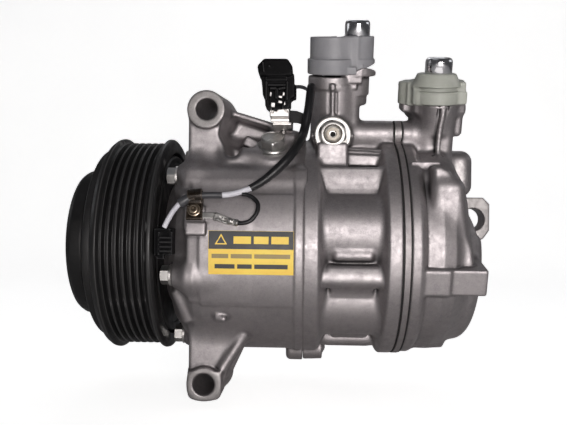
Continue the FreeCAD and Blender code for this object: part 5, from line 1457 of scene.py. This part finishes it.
def bracket():
    part = Field((63, -48, 54), (90, -22, 79), FINE)
    part.add(0, slab((73.6, -37.2, 69), (4.6, 0.7, 6.4), 0.3))
    # hollow foot in front of the upright, its top edge notched
    part.add(0.3, slab((73.6, -41.6, 66.3), (4.7, 3.9, 2.3), 0.5))
    part.cut(0.3, slab((72, -46, 69), (1.3, 2.2, 2.2), 0.4, turn("Y", 24)))
    part.cut(0.2, slab((75.3, -46, 69.3), (0.6, 2.2, 1.5), 0.3, turn("Y", -30)),
             slab((73.6, -40.6, 65.9), (3.9, 3.9, 1.3), 0.3),
             slab((70.6, -46, 67.2), (0.35, 1.2, 1.5), 0.15, turn("Y", 18)),
             slab((76.6, -46, 67.4), (0.35, 1.2, 1.5), 0.15, turn("Y", -38)))
    # tongue under the screw
    part.add(0.5, slab((74.6, -30.6, 60.8), (4.7, 6.3, 0.7), 0.3, turn("X", -10)))
    part.cut(0, cylinder((75, -27.2, 54), (75, -25.9, 64), 1.55))
    return part


def bracket_arm():
    """The dark arm behind the foot."""
    part = Field((76, -34, 57), (91, -22, 72), FINE)
    outline = [(77.6, 69.6), (82.0, 69.2), (87.0, 67.4), (87.4, 61.5), (82.4, 63.0),
               (78.0, 63.4)]
    part.add(0, extruded(outline, -31.0, -29.4, 0.4))
    part.add(0.6, slab((78.6, -29.4, 62.2), (1.4, 1.6, 2.8), 0.5))
    return part


BRACKET_SCREW = [(-9.0, 0), (-9.0, 1.2), (-8.6, 1.48), (0.0, 1.48), (0.02, 2.8), (0.3, 3.0),
                 (1.3, 2.9), (1.9, 2.2), (2.0, 1.2), (1.2, 1.0), (1.1, 0)]
SCREW_TILT = math.radians(10)

solid("coil_socket_moulded", coil_socket(), PLASTIC, "coil_connector")
solid("harness_plug_moulded", harness_plug(), PLASTIC, "harness_connector")
solid("connector_bracket_pressed", bracket(), TIN, "connector_bracket")
solid("connector_bracket_arm", bracket_arm(), RUBBER)
solid("harness_plug_clips", plug_clips(), TIN)
turned("bracket_screw_head", BRACKET_SCREW, ZINC, "zinc_steel", "bracket_screw",
       origin=(75.0, -26.2, 59.5), axis=(0, math.sin(SCREW_TILT), math.cos(SCREW_TILT)),
       segments=40)


# -------------------------------------------------------------------- label
PRINT_RADIUS = 57.72
PRINT_THICKNESS = 0.04


def label_sheet(name, angle0, angle1, x0, x1, radius, thickness, material, replaces=None):
    """A thin curved sheet on the barrel between two angles."""
    steps = 24
    verts, faces = [], []
    for i in range(steps + 1):
        angle = angle0 + (angle1 - angle0) * i / steps
        verts += [polar(r, angle, x) for x in (x0, x1) for r in (radius, radius + thickness)]
    for a in range(0, 4 * steps, 4):
        b = a + 4
        faces += [(a + 1, a + 3, b + 3, b + 1), (a, b, b + 2, a + 2),
                  (a, a + 1, b + 1, b), (a + 2, b + 2, b + 3, a + 3)]
    last = 4 * steps
    faces += [(0, 2, 3, 1), (last, last + 1, last + 3, last + 2)]
    build(name, verts, faces, material, replaces, sharp_angle=30)


def label_figure(name, x, angle, material, outline, hole=()):
    """A flat figure wrapped on the barrel; a hole has as many corners as its outline."""
    verts, faces = [], []
    for radius in (PRINT_RADIUS, PRINT_RADIUS + PRINT_THICKNESS):
        for across, up in (*outline, *hole):
            verts.append(polar(radius, angle + math.degrees(up / PRINT_RADIUS), x + across))
    n = len(outline)
    if not hole:
        faces += [tuple(range(n)), tuple(range(n, 2 * n))[::-1]]
    for i in range(n):
        j = (i + 1) % n
        if hole:
            faces += [(2 * n + i, 2 * n + j, 3 * n + j, 3 * n + i), (i, n + i, n + j, j),
                      (i, j, 2 * n + j, 2 * n + i), (n + i, 3 * n + i, 3 * n + j, n + j)]
        else:
            faces.append((i, j, n + j, n + i))
    build(name, verts, faces, material, sharp_angle=30)


def label_bar(name, x0, x1, angle, half, material):
    label_figure(name, 0.0, angle, material, [(x0, -half), (x1, -half), (x1, half), (x0, half)])


label_sheet("caution_label_sheet", -11.9, 8.6, 41.6, 81.5, 57.50, 0.16, YELLOW, "caution_label")
label_sheet("caution_label_band", 0.1, 8.5, 41.7, 81.4, 57.67, 0.04, INK)
label_figure("label_triangle", 47.5, 4.3, YELLOW, [(0.0, 2.95), (-2.9, -2.1), (2.9, -2.1)],
             [(0.0, 1.85), (-1.95, -1.55), (1.95, -1.55)])
for i, (x0, x1) in enumerate(((53.4, 61.6), (62.9, 69.8), (71.1, 79.2))):
    label_bar("label_bar_top_%d" % i, x0, x1, 4.3, 1.75, YELLOW)
# from x, to x, angle, half height, ink
LOW_BARS = [
    (43.2, 51.0, -3.2, 1.0, FAINT), (52.2, 62.0, -3.2, 1.0, FAINT), (63.2, 80.0, -3.2, 1.0, FAINT),
    (44.6, 54.0, -8.0, 1.05, INK), (55.2, 62.0, -8.0, 1.05, INK), (63.2, 78.8, -8.0, 1.05, INK)]
for i, bar in enumerate(LOW_BARS):
    label_bar("label_bar_low_%d" % i, *bar)

# ------------------------------------------- finishes of the CAD nodes shown
FINISHES = [
    (STEEL, ("bearing_inner_ring", "bearing_outer_ring", "bearing_balls", "clutch_hub",
             "drive_shaft", "front_needle_bearing", "rear_needle_bearing", "thrust_bearing",
             "swash_plate", "shoes", "locating_dowels")),
    (RUBBER, ("bearing_seals", "shaft_seal", "housing_o_ring", "front_gasket", "rear_gasket",
              "port_seals")),
    (DULL, ("coil_snap_ring", "leaf_springs", "lug_plate", "seal_circlip",
            "suction_reed_plate", "discharge_reed_plate", "control_valve_circlip")),
    (COPPER, ("coil_winding",)),
    (PLATE, ("valve_plate",))]
finish_of = {node: material for material, nodes in FINISHES for node in nodes}
for name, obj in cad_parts.items():
    if not obj.hide_render:
        obj.data.materials.clear()
        obj.data.materials.append(finish_of.get(name, MACHINED))


# -------------------------------------------------------- stage, in metres
def paper():
    shader = Shader("pale_paper")
    mottle = shader.ramp(shader.noise(3, detail=4, roughness=0.6), (0.3, 0), (0.8, 1))
    colour = shader.mix(mottle, (0.80, 0.80, 0.80), (0.84, 0.84, 0.835))
    grain = shader.noise(900, detail=3, roughness=0.6)
    shader.finish(colour, 0.85, [(grain, 0.05, 0.0002)])
    # lit from within for the camera only, so it stays pale behind a dimly lit part
    seen = shader.node("LightPath").outputs["Is Camera Ray"]
    shader.feed(shader.inputs["Emission Color"], colour)
    shader.feed(shader.inputs["Emission Strength"], shader.multiply(seen, 1.0))
    return shader.material


def floor_sweep():
    floor_z, half_width, bend_y, bend = -0.0806, 2.6, 0.55, 0.45
    profile = [(-1.6, 0.0), (bend_y, 0.0)]   # y and height
    for degrees in range(10, 91, 10):
        angle = math.radians(degrees)
        profile.append((bend_y + bend * math.sin(angle), bend - bend * math.cos(angle)))
    profile.append((1.0, 1.8))
    n = len(profile)
    verts = [(x, y, z + floor_z) for x in (-half_width, half_width) for y, z in profile]
    faces = [(i, i + 1, n + i + 1, n + i) for i in range(n - 1)]
    mesh = bpy.data.meshes.new("floor_sweep")
    mesh.from_pydata(verts, [], faces)
    mesh.polygons.foreach_set("use_smooth", [True] * len(faces))
    mesh.materials.append(paper())
    obj = bpy.data.objects.new("floor_sweep", mesh)
    bpy.context.scene.collection.objects.link(obj)


def lamp(name, place, size, power, colour, aim=(0.09, 0, 0)):
    light = bpy.data.lights.new(name, "AREA")
    light.energy = power
    light.shape = "RECTANGLE"
    light.size, light.size_y = size
    light.color = colour
    obj = bpy.data.objects.new(name, light)
    obj.location = place
    obj.rotation_euler = (Vector(aim) - Vector(place)).to_track_quat("-Z", "Y").to_euler()
    bpy.context.scene.collection.objects.link(obj)


def lamps():
    lamp("key_soft", (0.22, -0.82, 0.03), size=(0.36, 0.20), power=4.3,
         colour=(1.0, 0.957, 0.945), aim=(0.10, 0, 0))
    lamp("floor_card", (0.11, -0.25, -0.0775), size=(0.30, 0.17), power=0.10,
         colour=(1.0, 0.957, 0.94), aim=(0.11, -0.25, 0.5))
    lamp("top_soft", (-0.15, -0.25, 0.80), size=(0.45, 0.35), power=0.14,
         colour=(0.90, 0.92, 1.0), aim=(0.08, 0, 0))
    # weak fill for the sides the camera does not see
    cool = (0.96, 0.97, 1.0)
    lamp("back_fill", (0.10, 0.42, 0.62), size=(0.50, 0.30), power=0.5, colour=cool)
    lamp("end_fill", (0.95, 0.10, 0.45), size=(0.50, 0.30), power=0.4, colour=cool)
    lamp("clutch_fill", (-0.80, 0.10, 0.30), size=(0.40, 0.30), power=0.35, colour=cool,
         aim=(0, 0, 0))


def studio():
    """A world that is dim as a light and bright to the camera."""
    dim, bright = 0.06, 1.0
    world = bpy.data.worlds.new("studio")
    bpy.context.scene.world = world
    world.use_nodes = True
    tree = world.node_tree
    background = tree.nodes["Background"]
    path = tree.nodes.new("ShaderNodeLightPath")
    strength = tree.nodes.new("ShaderNodeMix")
    strength.data_type = "FLOAT"
    tree.links.new(path.outputs["Is Camera Ray"], strength.inputs[0])
    strength.inputs[2].default_value = dim
    strength.inputs[3].default_value = bright
    tree.links.new(strength.outputs[0], background.inputs["Strength"])
    background.inputs["Color"].default_value = (0.96, 0.96, 1.0, 1)


def camera():
    data = bpy.data.cameras.new("photo_view")
    data.lens = 39.36
    data.sensor_width = 36
    data.clip_start = 0.01
    obj = bpy.data.objects.new("photo_view", data)
    right, up = Vector((0.9993, 0.0348, 0.0113)), Vector((-0.0113, 0, 0.9999))
    forward = Vector((-0.0348, 0.9994, 0))
    place = (0.08665, -0.3460, 0.0175)
    rows = [(right[k], up[k], -forward[k], place[k]) for k in range(3)]
    obj.matrix_world = Matrix((*rows, (0, 0, 0, 1)))
    bpy.context.scene.collection.objects.link(obj)
    bpy.context.scene.camera = obj


floor_sweep()
lamps()
studio()
camera()
view = bpy.context.scene.view_settings
view.view_transform = "Standard"
view.look = "None"
view.exposure = 0.0
